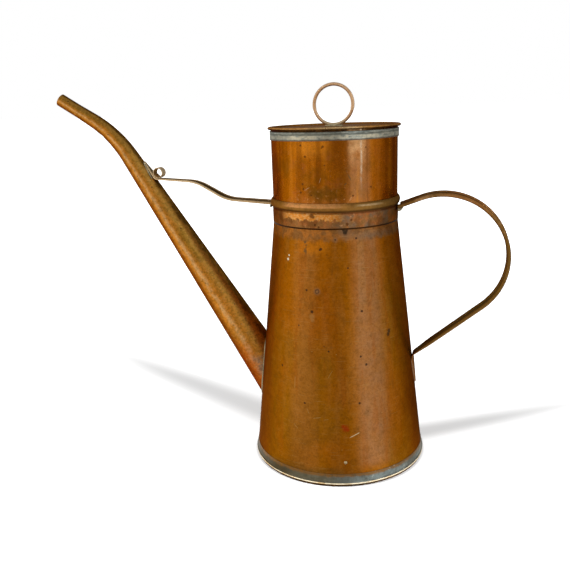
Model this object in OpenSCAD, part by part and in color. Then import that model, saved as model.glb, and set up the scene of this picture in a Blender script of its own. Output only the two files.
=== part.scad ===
// Long-spouted copper watering can with a lift-off lid.
// Millimetres. The origin is the centre of the base's underside, +Z is up,
// the spout points to -X and the handle to +X. The can is mirror-symmetric about y = 0.

/* [Sheet and solder] */
// Thickness of the copper sheet
sheet_t = 0.8; // [0.6:0.1:1.2]
// Solder film left between two lapped pieces
film = 0.1; // [0.05:0.05:0.2]

/* [Body] */
// Outside diameter over the base rim
base_d = 160; // [130:1:200]
// Height of the seam between body and neck
seam_z = 222.7; // [180:1:270]
// Outside diameter of the body at that seam
seam_d = 110.2; // [90:1:120]
// Height of the rim turned up round the base
base_rim_h = 3.6; // [2:0.2:8]
// Height of the solder band above the base rim
base_solder_h = 7.8; // [4:0.2:14]
// Thickness of the solder band above the base rim
base_solder_t = 0.5; // [0.3:0.1:1]
// Diameter of the solder dot that closes a pinhole
dot_d = 3.4; // [2:0.2:6]
// Height of the solder dot above the table
dot_z = 22; // [16:1:60]
// Angle of the solder dot from the +X axis
dot_angle = -75.5; // [-110:1:-60]

/* [Neck] */
// Outside diameter of the neck
neck_d = 109.8; // [90:1:120]
// Height of the neck's skirt, from the seam to the shoulder under the hoop
skirt_h = 15; // [12:0.5:20]
// Height of the neck from the seam to the mouth
neck_h = 78.9; // [60:1:100]
// Depth of the body's collar inside the neck's skirt
lap_h = 12; // [6:0.5:12]
// Height of the half-round hoop
hoop_h = 7.4; // [5:0.2:9]
// How far the hoop stands proud of the skirt
hoop_proud = 1.6; // [1:0.1:3]
// Height of the hoop's lower edge above the seam
hoop_up = 13; // [10:0.5:20]
// Height of the tinned band round the mouth
band_h = 7.2; // [5:0.2:12]
// Depth of the tinned band's upper edge below the mouth
band_down = 1.3; // [0.6:0.1:3]

/* [Lid] */
// How far the lid's rolled rim stands out past the neck
lid_overhang = 2.6; // [1.5:0.1:5]
// Diameter of the rolled rim
rim_d = 2.4; // [1.8:0.2:4]
// Depth of the collar below the lid's cover
collar_h = 15; // [8:1:24]
// Radial play between the lid's collar and the neck
collar_play = 0.5; // [0.3:0.1:1]
// Gap between the lid's cover and the neck's top edge
lid_gap = 0.1; // [0.05:0.05:0.3]
// Outside diameter of the finger ring
ring_d = 36.5; // [28:0.5:44]
// Diameter of the finger ring's wire
ring_wire = 2.9; // [2:0.1:4]
// Length of the solder saddle under the finger ring
saddle_l = 17; // [12:1:24]

/* [Spout] */
// Height at which the spout's axis meets the body
spout_z = 80; // [60:1:110]
// Outside diameter of the spout at the body
spout_root_d = 36.8; // [28:0.2:42]
// Outside diameter of the spout where its bend starts
spout_waist_d = 16.7; // [14:0.2:22]
// Outside diameter of the spout where its bend ends
spout_neck_d = 12.9; // [12:0.2:14]
// Outside diameter of the spout's tip
tip_d = 11.8; // [9:0.2:12]
// Lean of the spout from the vertical, below the bend
spout_lean = 32.1; // [26:0.5:40]
// Lean of the spout from the vertical, at the tip
tip_lean = 58.4; // [50:0.5:70]
// Length of the spout from the body to the bend
spout_run = 235.3; // [200:1:260]
// Radius of the bend along the spout's axis
bend_r = 109; // [80:1:140]
// Length over which the spout goes on tapering after the bend
tip_taper = 17.6; // [10:0.2:40]
// Length of the straight end, which a rose or a hose slides over
tip_l = 20; // [12:1:24]

/* [Stay] */
// Height at which the stay leaves the neck, above the seam
stay_up = 13.8; // [12:0.1:16]
// Width of the stay at the hoop
stay_w = 18; // [12:1:22]
// Width of the stay at the spout
stay_end_w = 9; // [7:0.5:12]
// Diameter of the stay's rolled edges at the hoop
stay_edge = 2.6; // [2:0.1:3.4]
// Diameter of the stay's rolled edges at the spout
stay_end_edge = 1.5; // [1.3:0.1:2]
// Distance from the can's axis to the stay's first bend
stay_bend_x = 100.5; // [92:0.5:106]
// Distance from the can's axis to the stay's second bend
stay_flat_x = 129.5; // [126:0.5:136]
// Rise of the stay between the hoop and its first bend, in degrees
stay_slope = 4.4; // [2:0.2:8]
// Rise of the stay between its two bends, in degrees
stay_climb = 29; // [20:0.5:34]
// Rise of the stay from its second bend to the spout, in degrees
stay_level = 4; // [1:0.5:8]
// Radius of the stay's two bends
stay_bend_r = 40; // [24:1:44]
// Length of the pointed foot that lies along the spout
foot_l = 19; // [12:1:26]
// Outside diameter of the rolled eye
curl_d = 10; // [8:0.2:14]
// Width of the rolled eye
curl_w = 8; // [6:0.5:10]

/* [Handle] */
// Distance from the can's axis to the centre of the handle's bow
bow_x = 94; // [90:0.5:110]
// Height of the centre of the handle's bow
bow_z = 188.6; // [180:0.5:200]
// Radius of the handle's bow along its middle
bow_r = 55.5; // [48:0.5:62]
// Slope of the handle where it runs down to the hoop, in degrees
handle_top_slope = 20; // [10:0.5:26]
// Slope of the handle where it runs down to the body, in degrees
handle_low_slope = 38.9; // [34:0.5:46]
// Width of the handle at the hoop
handle_w = 21; // [16:1:26]
// Width of the handle at its lower bend
handle_end_w = 13; // [10:1:18]
// Diameter of the handle's rolled edges
handle_edge = 3.6; // [3:0.1:5]
// Length of the pointed tab on the body
tab_l = 27; // [18:1:36]

/* [Hidden] */
$fn = 96;
thin_fn = 720;          // sides of a circle that cuts a thin wedge
far = 400;              // longer than anything that is cut
eps = 0.01;             // a hair's overlap inside one solid, and past a face that is cut

// Body: a cone whose outside passes through the rim's inside and the seam
foot_r = base_d / 2 - sheet_t - film;
foot_z = sheet_t + film;
seam_r = seam_d / 2;
cone_angle = atan((foot_r - seam_r) / (seam_z - foot_z));
function cone_r(z) = foot_r - (z - foot_z) * tan(cone_angle);

// Neck: a tube with a slightly wider skirt that slips over the body's collar
neck_r = neck_d / 2;
skirt_step = 0.4;       // how far the skirt stands out past the body at the seam
skirt_r = seam_r + skirt_step;
collar_r = skirt_r - sheet_t - film;
shoulder_h = 2;         // height of the slope between skirt and tube
mouth_z = seam_z + neck_h;
hoop_z = seam_z + hoop_up;
band_top = mouth_z - band_down;
hoop_seat = max(skirt_r, neck_r);
hoop_r = hoop_seat + film + hoop_proud;

// Lid
lid_z = mouth_z + lid_gap;
lid_r = neck_r + lid_overhang;
plate_top = lid_z + sheet_t;
plug_r = neck_r - sheet_t - collar_play;
ring_z = plate_top + ring_d / 2 + film;

// Spout: root on the body, straight run, bend, tip. Headings are degrees in the XZ plane.
run_heading = 90 + spout_lean;
tip_heading = 90 + tip_lean;
function dir(a) = [cos(a), sin(a)];
spout_root = [-cone_r(spout_z), spout_z];
bend_start = spout_root + spout_run * dir(run_heading);
bend_centre = bend_start + bend_r * dir(run_heading + 90);
bend_end = bend_centre + bend_r * dir(tip_heading - 90);
tip_start = bend_end + tip_taper * dir(tip_heading);
root_depth = 36;        // how far the spout is drawn into the body before it is cut
spout_taper = (spout_root_d - spout_waist_d) / 2 / spout_run;
bend_steps = 10;
bend_sides = 48;
bend_into = 0.2;        // how far the bend's facets run on into those round pieces
bend_inset = 0.03;      // how far the bend's facets lie inside the round pieces they run into

// Stay
strap_web = 0.9;        // thickness of a strap between its rolled edges
tab_t = 1.4;            // thickness of a strap where it is hammered flat
tip_w = 2.4;            // width of a strap's pointed end
stay_root = [-hoop_seat, seam_z + stay_up];
foot_heading = run_heading + atan(spout_taper);
stay_h1 = 180 - stay_slope;
stay_h2 = 180 - stay_climb;
stay_h3 = 180 - stay_level;
stay_c1 = stay_root + (stay_bend_x - hoop_seat) / cos(stay_slope) * dir(stay_h1);
stay_c2 = stay_c1 + (stay_flat_x - stay_bend_x) / cos(stay_climb) * dir(stay_h2);
foot_line = spout_root + (spout_root_d / 2 + film + tab_t / 2) * dir(run_heading - 90);
stay_c3 = crossing(stay_c2, stay_h3, foot_line, foot_heading);
root_in = 3;            // how far the stay is drawn into the hoop before it is cut
foot_bend_r = 3;
foot_steps = 4;
foot_end = stay_c3 + foot_l * dir(foot_heading);
curl_half = (180 - stay_h3 + foot_heading) / 2;
curl_off = curl_d / 2 + stay_end_edge / 2 + film;
curl_centre = stay_c3 + curl_off / sin(curl_half) * dir(foot_heading - curl_half);
curl_t = 1.2;           // thickness of the rolled eye's strip

// Handle
bow_centre = [bow_x, bow_z];
bow_from = 90 + handle_top_slope;
bow_to = handle_low_slope - 90;
handle_low_heading = 180 + handle_low_slope;
tab_heading = 270 + cone_angle;
bow_low = bow_centre + bow_r * dir(bow_to);
tab_line = [cone_r(0) + (film + tab_t / 2) / cos(cone_angle), 0];
tab_corner = crossing(bow_low, handle_low_heading, tab_line, tab_heading);
tab_bend_r = 5;
tab_steps = 5;
bead_w = 2;             // width of the solder bead along each edge of the tab
tab_end = tab_corner + tab_l * dir(tab_heading);
handle_top = bow_centre + bow_r * dir(bow_from);
handle_top_l = (handle_top[0] - neck_r) / cos(handle_top_slope);
handle_root = handle_top - handle_top_l * dir(handle_top_slope);

// The point where the line through p along heading a meets the line through q along heading b
function crossing(p, a, q, b) =
    p + ((q - p)[0] * sin(b) - (q - p)[1] * cos(b)) / sin(b - a) * dir(a);

// Stations [x, z, heading] along an arc round centre c, from angle a to angle b
function arc_route(c, r, a, b, steps) = [
    for (i = [0:steps])
        let (t = a + (b - a) * i / steps)
        [c[0] + r * cos(t), c[1] + r * sin(t), t + (b > a ? 90 : -90)]
];

// Stations round a corner p, where the heading turns from a to b on radius r
function corner_route(p, a, b, r, steps) =
    let (side = b > a ? 90 : -90)
    let (mid = (a + b) / 2)
    let (centre = p + r / cos((b - a) / 2) * dir(mid + side))
    arc_route(centre, r, a - side, b - side, steps);

// Stations along the spout's bend, with one more just inside the round piece at each end
function bend_station(i) =
    i <= 0 ? concat(bend_start - (bend_into - i) * dir(run_heading), run_heading) :
    i >= bend_steps ? concat(bend_end + (bend_into + i - bend_steps) * dir(tip_heading), tip_heading) :
    arc_route(bend_centre, bend_r, run_heading - 90, tip_heading - 90, bend_steps)[i];

// Cross-section of a strap as [across, thick] points: a web between two rolled edges
function strap_section(w, edge, web) =
    let (b = asin(min(1, web / edge)), n = 8)
    concat(
        [for (i = [0:n]) let (t = b - 180 + (360 - 2 * b) * i / n)
            [w / 2 - edge / 2, 0] + edge / 2 * dir(t)],
        [for (i = [0:n]) let (t = b + (360 - 2 * b) * i / n)
            [edge / 2 - w / 2, 0] + edge / 2 * dir(t)]
    );

// Stands a section up at a station, square to its heading
function placed(section, s) = [
    for (q = section) [s[0] - q[1] * sin(s[2]), q[0], s[1] + q[1] * cos(s[2])]
];

// Closes a list of rings of points, all with the same count, into one solid
module skin(rings) {
    n = len(rings[0]);
    m = len(rings);
    sides = [
        for (j = [0:m - 2], i = [0:n - 1])
            let (k = (i + 1) % n, a = j * n, b = (j + 1) * n)
            each [[a + i, b + k, a + k], [a + i, b + i, b + k]]
    ];
    caps = [[for (i = [0:n - 1]) i], [for (i = [n - 1:-1:0]) (m - 1) * n + i]];
    polyhedron(points = [for (r = rings) each r], faces = concat(sides, caps));
}

// A solid of revolution from a list of [radius, height] points
module turned(outline) rotate_extrude() polygon(outline);

// A cylinder or cone whose axis starts at p in the XZ plane and runs along a heading
module along(p, heading, h, r1, r2)
    translate([p[0], 0, p[1]]) rotate([0, 90 - heading, 0]) cylinder(h = h, r1 = r1, r2 = r2);

// The space that the body fills, out to a distance g from its outside
module body_space(g)
    cylinder(h = seam_z, r1 = cone_r(0) + g / cos(cone_angle), r2 = seam_r + g / cos(cone_angle));

// The straight run's cone, from inside the body outwards, with its radius changed by g
module root_cone(g) {
    l = root_depth + spout_run;
    from_r = spout_root_d / 2 + spout_taper * root_depth + g;
    along(spout_root - root_depth * dir(run_heading), run_heading, l, from_r, from_r - spout_taper * l);
}

// The hoop's half-round outline, grown by g, standing on its seat's radius less a given depth
module hoop_outline(g, depth) {
    rise = hoop_proud + g;
    half = hoop_h / 2 + g;
    arc_r = (half * half + rise * rise) / (2 * rise);
    intersection() {
        translate([hoop_seat + film + rise - arc_r, hoop_z + hoop_h / 2]) circle(r = arc_r);
        translate([hoop_seat + film - depth, hoop_z - g]) square([far, 2 * half]);
    }
}

// The space that the neck and its hoop fill, out to a distance g
module neck_space(g)
    rotate_extrude() {
        square([hoop_seat + g, mouth_z]);
        hoop_outline(g, 1);
    }

// ---- Body and base ----

module body() color("#b06a2c") {
    lap_top = seam_z + lap_h;
    difference() {
        turned([
            [foot_r - sheet_t, foot_z], [foot_r, foot_z], [seam_r, seam_z], [collar_r, seam_z + eps],
            [collar_r, lap_top], [collar_r - sheet_t, lap_top],
            [collar_r - sheet_t, seam_z], [foot_r - sheet_t, foot_z + eps]
        ]);
        root_cone(-sheet_t);
    }
}

module base_disc() color("#a8703a") {
    rim_r = base_d / 2;
    turned([
        [0, 0], [rim_r, 0], [rim_r, base_rim_h], [rim_r - sheet_t, base_rim_h],
        [rim_r - sheet_t, sheet_t], [0, sheet_t]
    ]);
}

module base_solder() color("#7d8583") {
    low = base_rim_h + film;
    lip = low + 1;
    high = low + base_solder_h;
    turned([
        [cone_r(low) + film, low], [base_d / 2 - film, low],
        [cone_r(lip) + base_solder_t, lip], [cone_r(high) + base_solder_t / 2, high],
        [cone_r(high) + film, high]
    ]);
}

module repair_dot() color("#a3a49c") {
    dome_d = dot_d * 1.05;
    dome_h = 0.9;
    rotate([0, 0, dot_angle]) translate([cone_r(dot_z), 0, dot_z]) rotate([0, 90 - cone_angle, 0])
        intersection() {
            translate([0, 0, film]) cylinder(h = dome_h, d = dot_d);
            translate([0, 0, dome_h - dome_d / 2]) sphere(d = dome_d);
        }
}

// ---- Neck ----

module neck() color("#b5702f") {
    shoulder_z = seam_z + skirt_h;
    low = seam_z + 2 * film;
    turned([
        [skirt_r - sheet_t, low], [skirt_r, low], [skirt_r, shoulder_z],
        [neck_r, shoulder_z + shoulder_h], [neck_r, mouth_z], [neck_r - sheet_t, mouth_z],
        [neck_r - sheet_t, shoulder_z + shoulder_h], [skirt_r - sheet_t, shoulder_z]
    ]);
}

module seam_solder() color("#6e6a60") {
    low = seam_z - 1.2;
    turned([
        [cone_r(low) + film, low], [skirt_r, seam_z - film],
        [skirt_r, seam_z + film], [seam_r + film, seam_z + film]
    ]);
}

module neck_hoop() color("#9a7a3e") rotate_extrude() hoop_outline(0, 0);

module mouth_band() color("#8c9391")
    translate([0, 0, band_top - band_h]) difference() {
        cylinder(h = band_h, r = neck_r + film + sheet_t);
        translate([0, 0, -1]) cylinder(h = band_h + 2, r = neck_r + film);
    }

// ---- Spout ----

// The spout's shape with its radius changed by g; a bore is cut past the tip
module spout_shape(g, past) {
    in_r = spout_root_d / 2 + spout_taper * root_depth + g;
    waist_r = spout_waist_d / 2 + g;
    end_r = spout_neck_d / 2 + g;
    tip_r = tip_d / 2 + g;
    along(spout_root - root_depth * dir(run_heading), run_heading, root_depth + spout_run, in_r, waist_r);
    skin([
        for (i = [-1:bend_steps + 1])
            let (j = min(bend_steps, max(0, i)))
            let (r = waist_r + (end_r - waist_r) * j / bend_steps - bend_inset * (i == j ? 1 : 5))
            placed([for (k = [0:bend_sides - 1]) r * dir(360 * k / bend_sides)], bend_station(i))
    ]);
    along(bend_end, tip_heading, tip_taper, end_r, tip_r);
    along(tip_start - eps * dir(tip_heading), tip_heading, tip_l + eps + past, tip_r, tip_r);
}

module spout() color("#ad6c2b")
    difference() {
        spout_shape(0, 0);
        spout_shape(-sheet_t, 1);
        body_space(film);
    }

module spout_solder() color("#8a8a80") {
    fillet_t = 1.3;
    fillet_w = 2.6;
    difference() {
        intersection() {
            root_cone(fillet_w);
            body_space(film + fillet_t);
            translate([-far, -far / 2, 0]) cube([far, far, seam_z]);
        }
        root_cone(film);
        body_space(film);
    }
}

// ---- Stay ----

function stay_route() = concat(
    [[stay_root[0] + root_in, stay_root[1], stay_h1]],
    corner_route(stay_c1, stay_h1, stay_h2, stay_bend_r, 5),
    corner_route(stay_c2, stay_h2, stay_h3, stay_bend_r, 5),
    corner_route(stay_c3, stay_h3, foot_heading, foot_bend_r, foot_steps),
    [[foot_end[0], foot_end[1], foot_heading]]
);

module stay() color("#a07c46") {
    route = stay_route();
    last = len(route) - 1;
    span = -stay_c3[0] - hoop_seat;
    difference() {
        skin([
            for (i = [0:last])
                let (s = route[i])
                let (t = min(1, max(0, (-s[0] - hoop_seat) / span)))
                let (edge = stay_edge + (stay_end_edge - stay_edge) * t)
                let (w = i == last ? tip_w : stay_w + (stay_end_w - stay_w) * t)
                let (flat = i >= last - foot_steps)
                placed(strap_section(w, flat ? tab_t : edge, flat ? tab_t : strap_web), s)
        ]);
        cylinder(h = far, r = hoop_r + film);
    }
}

module stay_curl() color("#c09a63")
    translate([curl_centre[0], 0, curl_centre[1]]) rotate([90, 0, 0]) difference() {
        cylinder(h = curl_w, d = curl_d, center = true);
        cylinder(h = curl_w + 2, d = curl_d - 2 * curl_t, center = true);
    }

// A solder fillet where a strap meets the hoop: a block of depth sink under the strap's edges,
// which reaches l along the strap and is cut where the neck and its hoop are
module strap_fillet(s, w, edge, l, sink) {
    back = 6;
    side = 1;
    difference() {
        translate([s[0], 0, s[1]]) rotate([0, -s[2], 0])
            translate([-back, -w / 2 - side, -edge / 2 - sink])
                cube([back + l, w + 2 * side, sink - film]);
        neck_space(film);
    }
}

module stay_solder() color("#9a9a8c")
    intersection() {
        mirror([1, 0, 0])
            strap_fillet([hoop_seat, stay_root[1], stay_slope], stay_w, stay_edge, 4, 1.6);
        cylinder(h = far, r = hoop_seat + 4);
    }

module foot_solder() color("#94948a") {
    from = foot_l * 0.2;
    l = foot_l * 0.6;
    w = stay_end_w + 1;
    under = tab_t / 2 + film;
    difference() {
        translate([stay_c3[0], 0, stay_c3[1]]) rotate([0, -foot_heading, 0])
            translate([from, -w / 2, under]) cube([l, w, spout_waist_d / 4]);
        root_cone(2 * film, $fn = thin_fn);
    }
}

// ---- Handle ----

function handle_route() = concat(
    [[handle_root[0], handle_root[1], handle_top_slope]],
    arc_route(bow_centre, bow_r, bow_from, bow_to, 24),
    corner_route(tab_corner, handle_low_heading, tab_heading, tab_bend_r, tab_steps),
    [[tab_end[0], tab_end[1], tab_heading]]
);

module handle() color("#9c7438") {
    route = handle_route();
    last = len(route) - 1;
    top_z = bow_z + bow_r;
    drop = top_z - tab_corner[1];
    difference() {
        skin([
            for (i = [0:last])
                let (s = route[i])
                let (t = s[2] > 0 && s[2] < 90 ? 0 : min(1, (top_z - s[1]) / drop))
                let (w = i == last ? tip_w : handle_w + (handle_end_w - handle_w) * t)
                let (flat = i > last - tab_steps + 1)
                placed(strap_section(w, flat ? tab_t : handle_edge, flat ? tab_t : strap_web), s)
        ]);
        cylinder(h = far, r = hoop_r + film);
    }
}

module handle_top_solder() color("#9a9a8c")
    intersection() {
        strap_fillet([handle_root[0], handle_root[1], handle_top_slope],
            handle_w, handle_edge, 8, 1.8);
        cylinder(h = far, r = hoop_seat + 5);
    }

module handle_tab_solder() color("#8c8c80") {
    from = tab_bend_r * tan((tab_heading - handle_low_heading) / 2);
    taper = atan((handle_end_w - tip_w) / 2 / (tab_l - from));
    deep = 2 * tab_t;
    difference() {
        translate([tab_corner[0], 0, tab_corner[1]]) rotate([0, -tab_heading, 0])
            for (side = [0, 1]) mirror([0, side, 0])
                translate([from, handle_end_w / 2 + film, 0]) rotate([0, 0, -taper])
                    translate([bead_w, 0, -deep]) cube([tab_l * 0.6, bead_w, deep + tab_t / 4]);
        body_space(film, $fn = thin_fn);
    }
}

// ---- Lid ----

module lid_plate() color("#a5652d") {
    rim_r = lid_r - rim_d / 2;
    rim_drop = 0.2;
    translate([0, 0, lid_z]) cylinder(h = sheet_t, r = rim_r - rim_drop);
    rotate_extrude() translate([rim_r, lid_z + rim_d / 2 - rim_drop]) circle(d = rim_d);
}

module lid_collar() color("#9a5c28")
    translate([0, 0, lid_z - film - collar_h]) difference() {
        cylinder(h = collar_h, r = plug_r);
        translate([0, 0, -1]) cylinder(h = collar_h + 2, r = plug_r - sheet_t);
    }

module lid_ring() color("#b98a55")
    translate([0, 0, ring_z]) rotate([90, 0, 0])
        rotate_extrude() translate([(ring_d - ring_wire) / 2, 0]) circle(d = ring_wire);

module ring_solder() color("#a39a80") {
    saddle_h = 2.4;
    saddle_w = 5;
    saddle_r = saddle_l * 0.9;
    grown = ring_wire + 2 * film;
    difference() {
        translate([0, 0, plate_top + film]) intersection() {
            translate([-saddle_l / 2, -saddle_w / 2, 0]) cube([saddle_l, saddle_w, saddle_h]);
            translate([0, 0, saddle_h - saddle_r]) sphere(r = saddle_r);
        }
        translate([0, 0, ring_z]) rotate([90, 0, 0])
            rotate_extrude() translate([(ring_d - ring_wire) / 2, 0]) circle(d = grown);
    }
}

body();
base_disc();
base_solder();
repair_dot();
neck();
seam_solder();
neck_hoop();
mouth_band();
spout();
spout_solder();
stay();
stay_curl();
stay_solder();
foot_solder();
handle();
handle_top_solder();
handle_tab_solder();
lid_plate();
lid_collar();
lid_ring();
ring_solder();
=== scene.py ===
"""Looks, light and camera for an old copper watering can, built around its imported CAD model."""
import math
import bpy
import numpy as np
from mathutils import Matrix, Vector


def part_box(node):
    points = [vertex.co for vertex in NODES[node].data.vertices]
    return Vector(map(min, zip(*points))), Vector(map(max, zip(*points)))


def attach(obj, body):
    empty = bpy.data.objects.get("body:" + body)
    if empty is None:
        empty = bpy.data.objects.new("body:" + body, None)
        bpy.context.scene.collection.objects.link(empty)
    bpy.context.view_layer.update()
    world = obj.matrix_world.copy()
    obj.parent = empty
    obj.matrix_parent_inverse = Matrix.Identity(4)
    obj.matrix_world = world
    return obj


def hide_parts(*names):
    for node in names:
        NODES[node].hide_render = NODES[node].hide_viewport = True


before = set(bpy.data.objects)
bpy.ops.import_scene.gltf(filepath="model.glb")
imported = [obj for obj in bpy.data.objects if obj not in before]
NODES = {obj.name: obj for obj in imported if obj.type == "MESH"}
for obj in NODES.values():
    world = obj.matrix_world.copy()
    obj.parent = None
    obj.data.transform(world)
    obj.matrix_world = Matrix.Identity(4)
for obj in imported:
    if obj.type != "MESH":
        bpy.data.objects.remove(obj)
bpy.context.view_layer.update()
MM = 0.001


# ---------------------------------------------------------------- camera

CAMERA_PLACE = (0.1110, -0.5970, 0.3233)
CAMERA_HEADING, CAMERA_PITCH, CAMERA_ROLL = 15.0, 14.92, 2.13      # degrees
CAMERA_LENS = 43.07


def make_camera():
    """A camera a little above the lid, slightly rolled, that looks down at the can."""
    turn, pitch, roll = (math.radians(a) for a in (CAMERA_HEADING, CAMERA_PITCH, CAMERA_ROLL))
    level = Vector((-math.sin(turn), math.cos(turn), 0))
    side = Vector((math.cos(turn), math.sin(turn), 0))
    look = level * math.cos(pitch) - Vector((0, 0, 1)) * math.sin(pitch)
    top = side.cross(look)
    right = side * math.cos(roll) - top * math.sin(roll)
    up = top * math.cos(roll) + side * math.sin(roll)
    data = bpy.data.cameras.new("camera")
    data.sensor_width = 36
    data.lens = CAMERA_LENS
    data.clip_start = 0.01
    cam = bpy.data.objects.new("camera", data)
    rotation = Matrix((right, up, -look)).transposed().to_4x4()
    cam.matrix_world = Matrix.Translation(CAMERA_PLACE) @ rotation
    bpy.context.scene.collection.objects.link(cam)
    bpy.context.scene.camera = cam


# ---------------------------------------------------------------- node graphs

class Graph:
    """Short calls that build a node tree."""

    def __init__(self, tree, coords="Object"):
        self.tree = tree
        tree.nodes.clear()
        self.place = self.node("TexCoord").outputs[coords]
        self.x, self.y, self.z = self.split(self.place)

    def node(self, kind):
        return self.tree.nodes.new("ShaderNode" + kind)

    def link(self, value, socket):
        if isinstance(value, bpy.types.NodeSocket):
            self.tree.links.new(value, socket)
        elif isinstance(value, tuple) and len(value) == 3 and socket.type == "RGBA":
            socket.default_value = value + (1,)
        else:
            socket.default_value = value

    def fed(self, kind, *values, **settings):
        """A new node with its settings made and its first inputs fed."""
        n = self.node(kind)
        for name, value in settings.items():
            setattr(n, name, value)
        for value, socket in zip(values, n.inputs):
            self.link(value, socket)
        return n

    def texture(self, kind, vector, **inputs):
        """The outputs of a texture or mapping node on a vector, its inputs set by name."""
        n = self.node(kind)
        self.link(vector, n.inputs["Vector"])
        for name, value in inputs.items():
            n.inputs[name].default_value = value
        return n.outputs

    def split(self, vector):
        return self.fed("SeparateXYZ", vector).outputs

    def math(self, op, a, b=0.0):
        return self.fed("Math", a, b, operation=op).outputs[0]

    def vector(self, op, a, b=(0, 0, 0), out="Vector"):
        return self.fed("VectorMath", a, b, operation=op).outputs[out]

    def fold(self, op, values):
        top = values[0]
        for v in values[1:]:
            top = self.math(op, top, v)
        return top

    def any(self, *masks):
        return self.fold("MAXIMUM", masks)

    def mul(self, *values):
        return self.fold("MULTIPLY", values)

    def add(self, *values):
        return self.fold("ADD", values)

    def outside(self, mask):
        return self.math("SUBTRACT", 1.0, mask)

    def slide(self, value, low, high, start, end, kind="LINEAR"):
        """A value carried over from low to high into start to end."""
        return self.fed("MapRange", value, low, high, start, end, interpolation_type=kind).outputs[0]

    def step(self, value, low, high):
        """0 at low, 1 at high and smooth between; low may be above high."""
        if low > high:
            return self.slide(value, high, low, 1.0, 0.0, "SMOOTHSTEP")
        return self.slide(value, low, high, 0.0, 1.0, "SMOOTHSTEP")

    def band(self, value, low, high, soft):
        """1 between low and high, with soft ends."""
        return self.mul(self.step(value, low - soft, low + soft),
                        self.step(value, high + soft, high - soft))

    def blend(self, share, a, b):
        """A mix of two shaders."""
        return self.fed("MixShader", share, a, b).outputs[0]

    def glow(self, kind, colour, strength):
        return self.fed(kind, colour, strength).outputs[0]

    def ray(self, kind):
        """1 for rays of one kind, 0 for the others."""
        return self.node("LightPath").outputs[f"Is {kind} Ray"]

    def surround(self):
        """The colour of the studio round the can, by azimuth."""
        turn = self.math("ARCTAN2", self.y, self.x)
        part = self.add(self.mul(turn, 0.5 / math.pi), 0.5)
        ramp = self.fed("ValToRGB", part)
        ramp.color_ramp.interpolation = "EASE"
        stops = ramp.color_ramp.elements
        for azimuth, _, _ in SURROUND[1:-1]:
            stops.new((azimuth + 180) / 360)
        for stop, (azimuth, level, warmth) in zip(stops, SURROUND):
            stop.position = (azimuth + 180) / 360
            stop.color = tuple(level * (w * warmth + c * (1 - warmth)) for w, c in zip(WARM, COOL)) + (1,)
        return ramp.outputs[0]


def surface_point(azimuth, z, r):
    """A point of the can in metres, from its azimuth in degrees, its height and its radius in mm."""
    a = math.radians(azimuth)
    return (r * math.cos(a) * MM, r * math.sin(a) * MM, z * MM)


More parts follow.
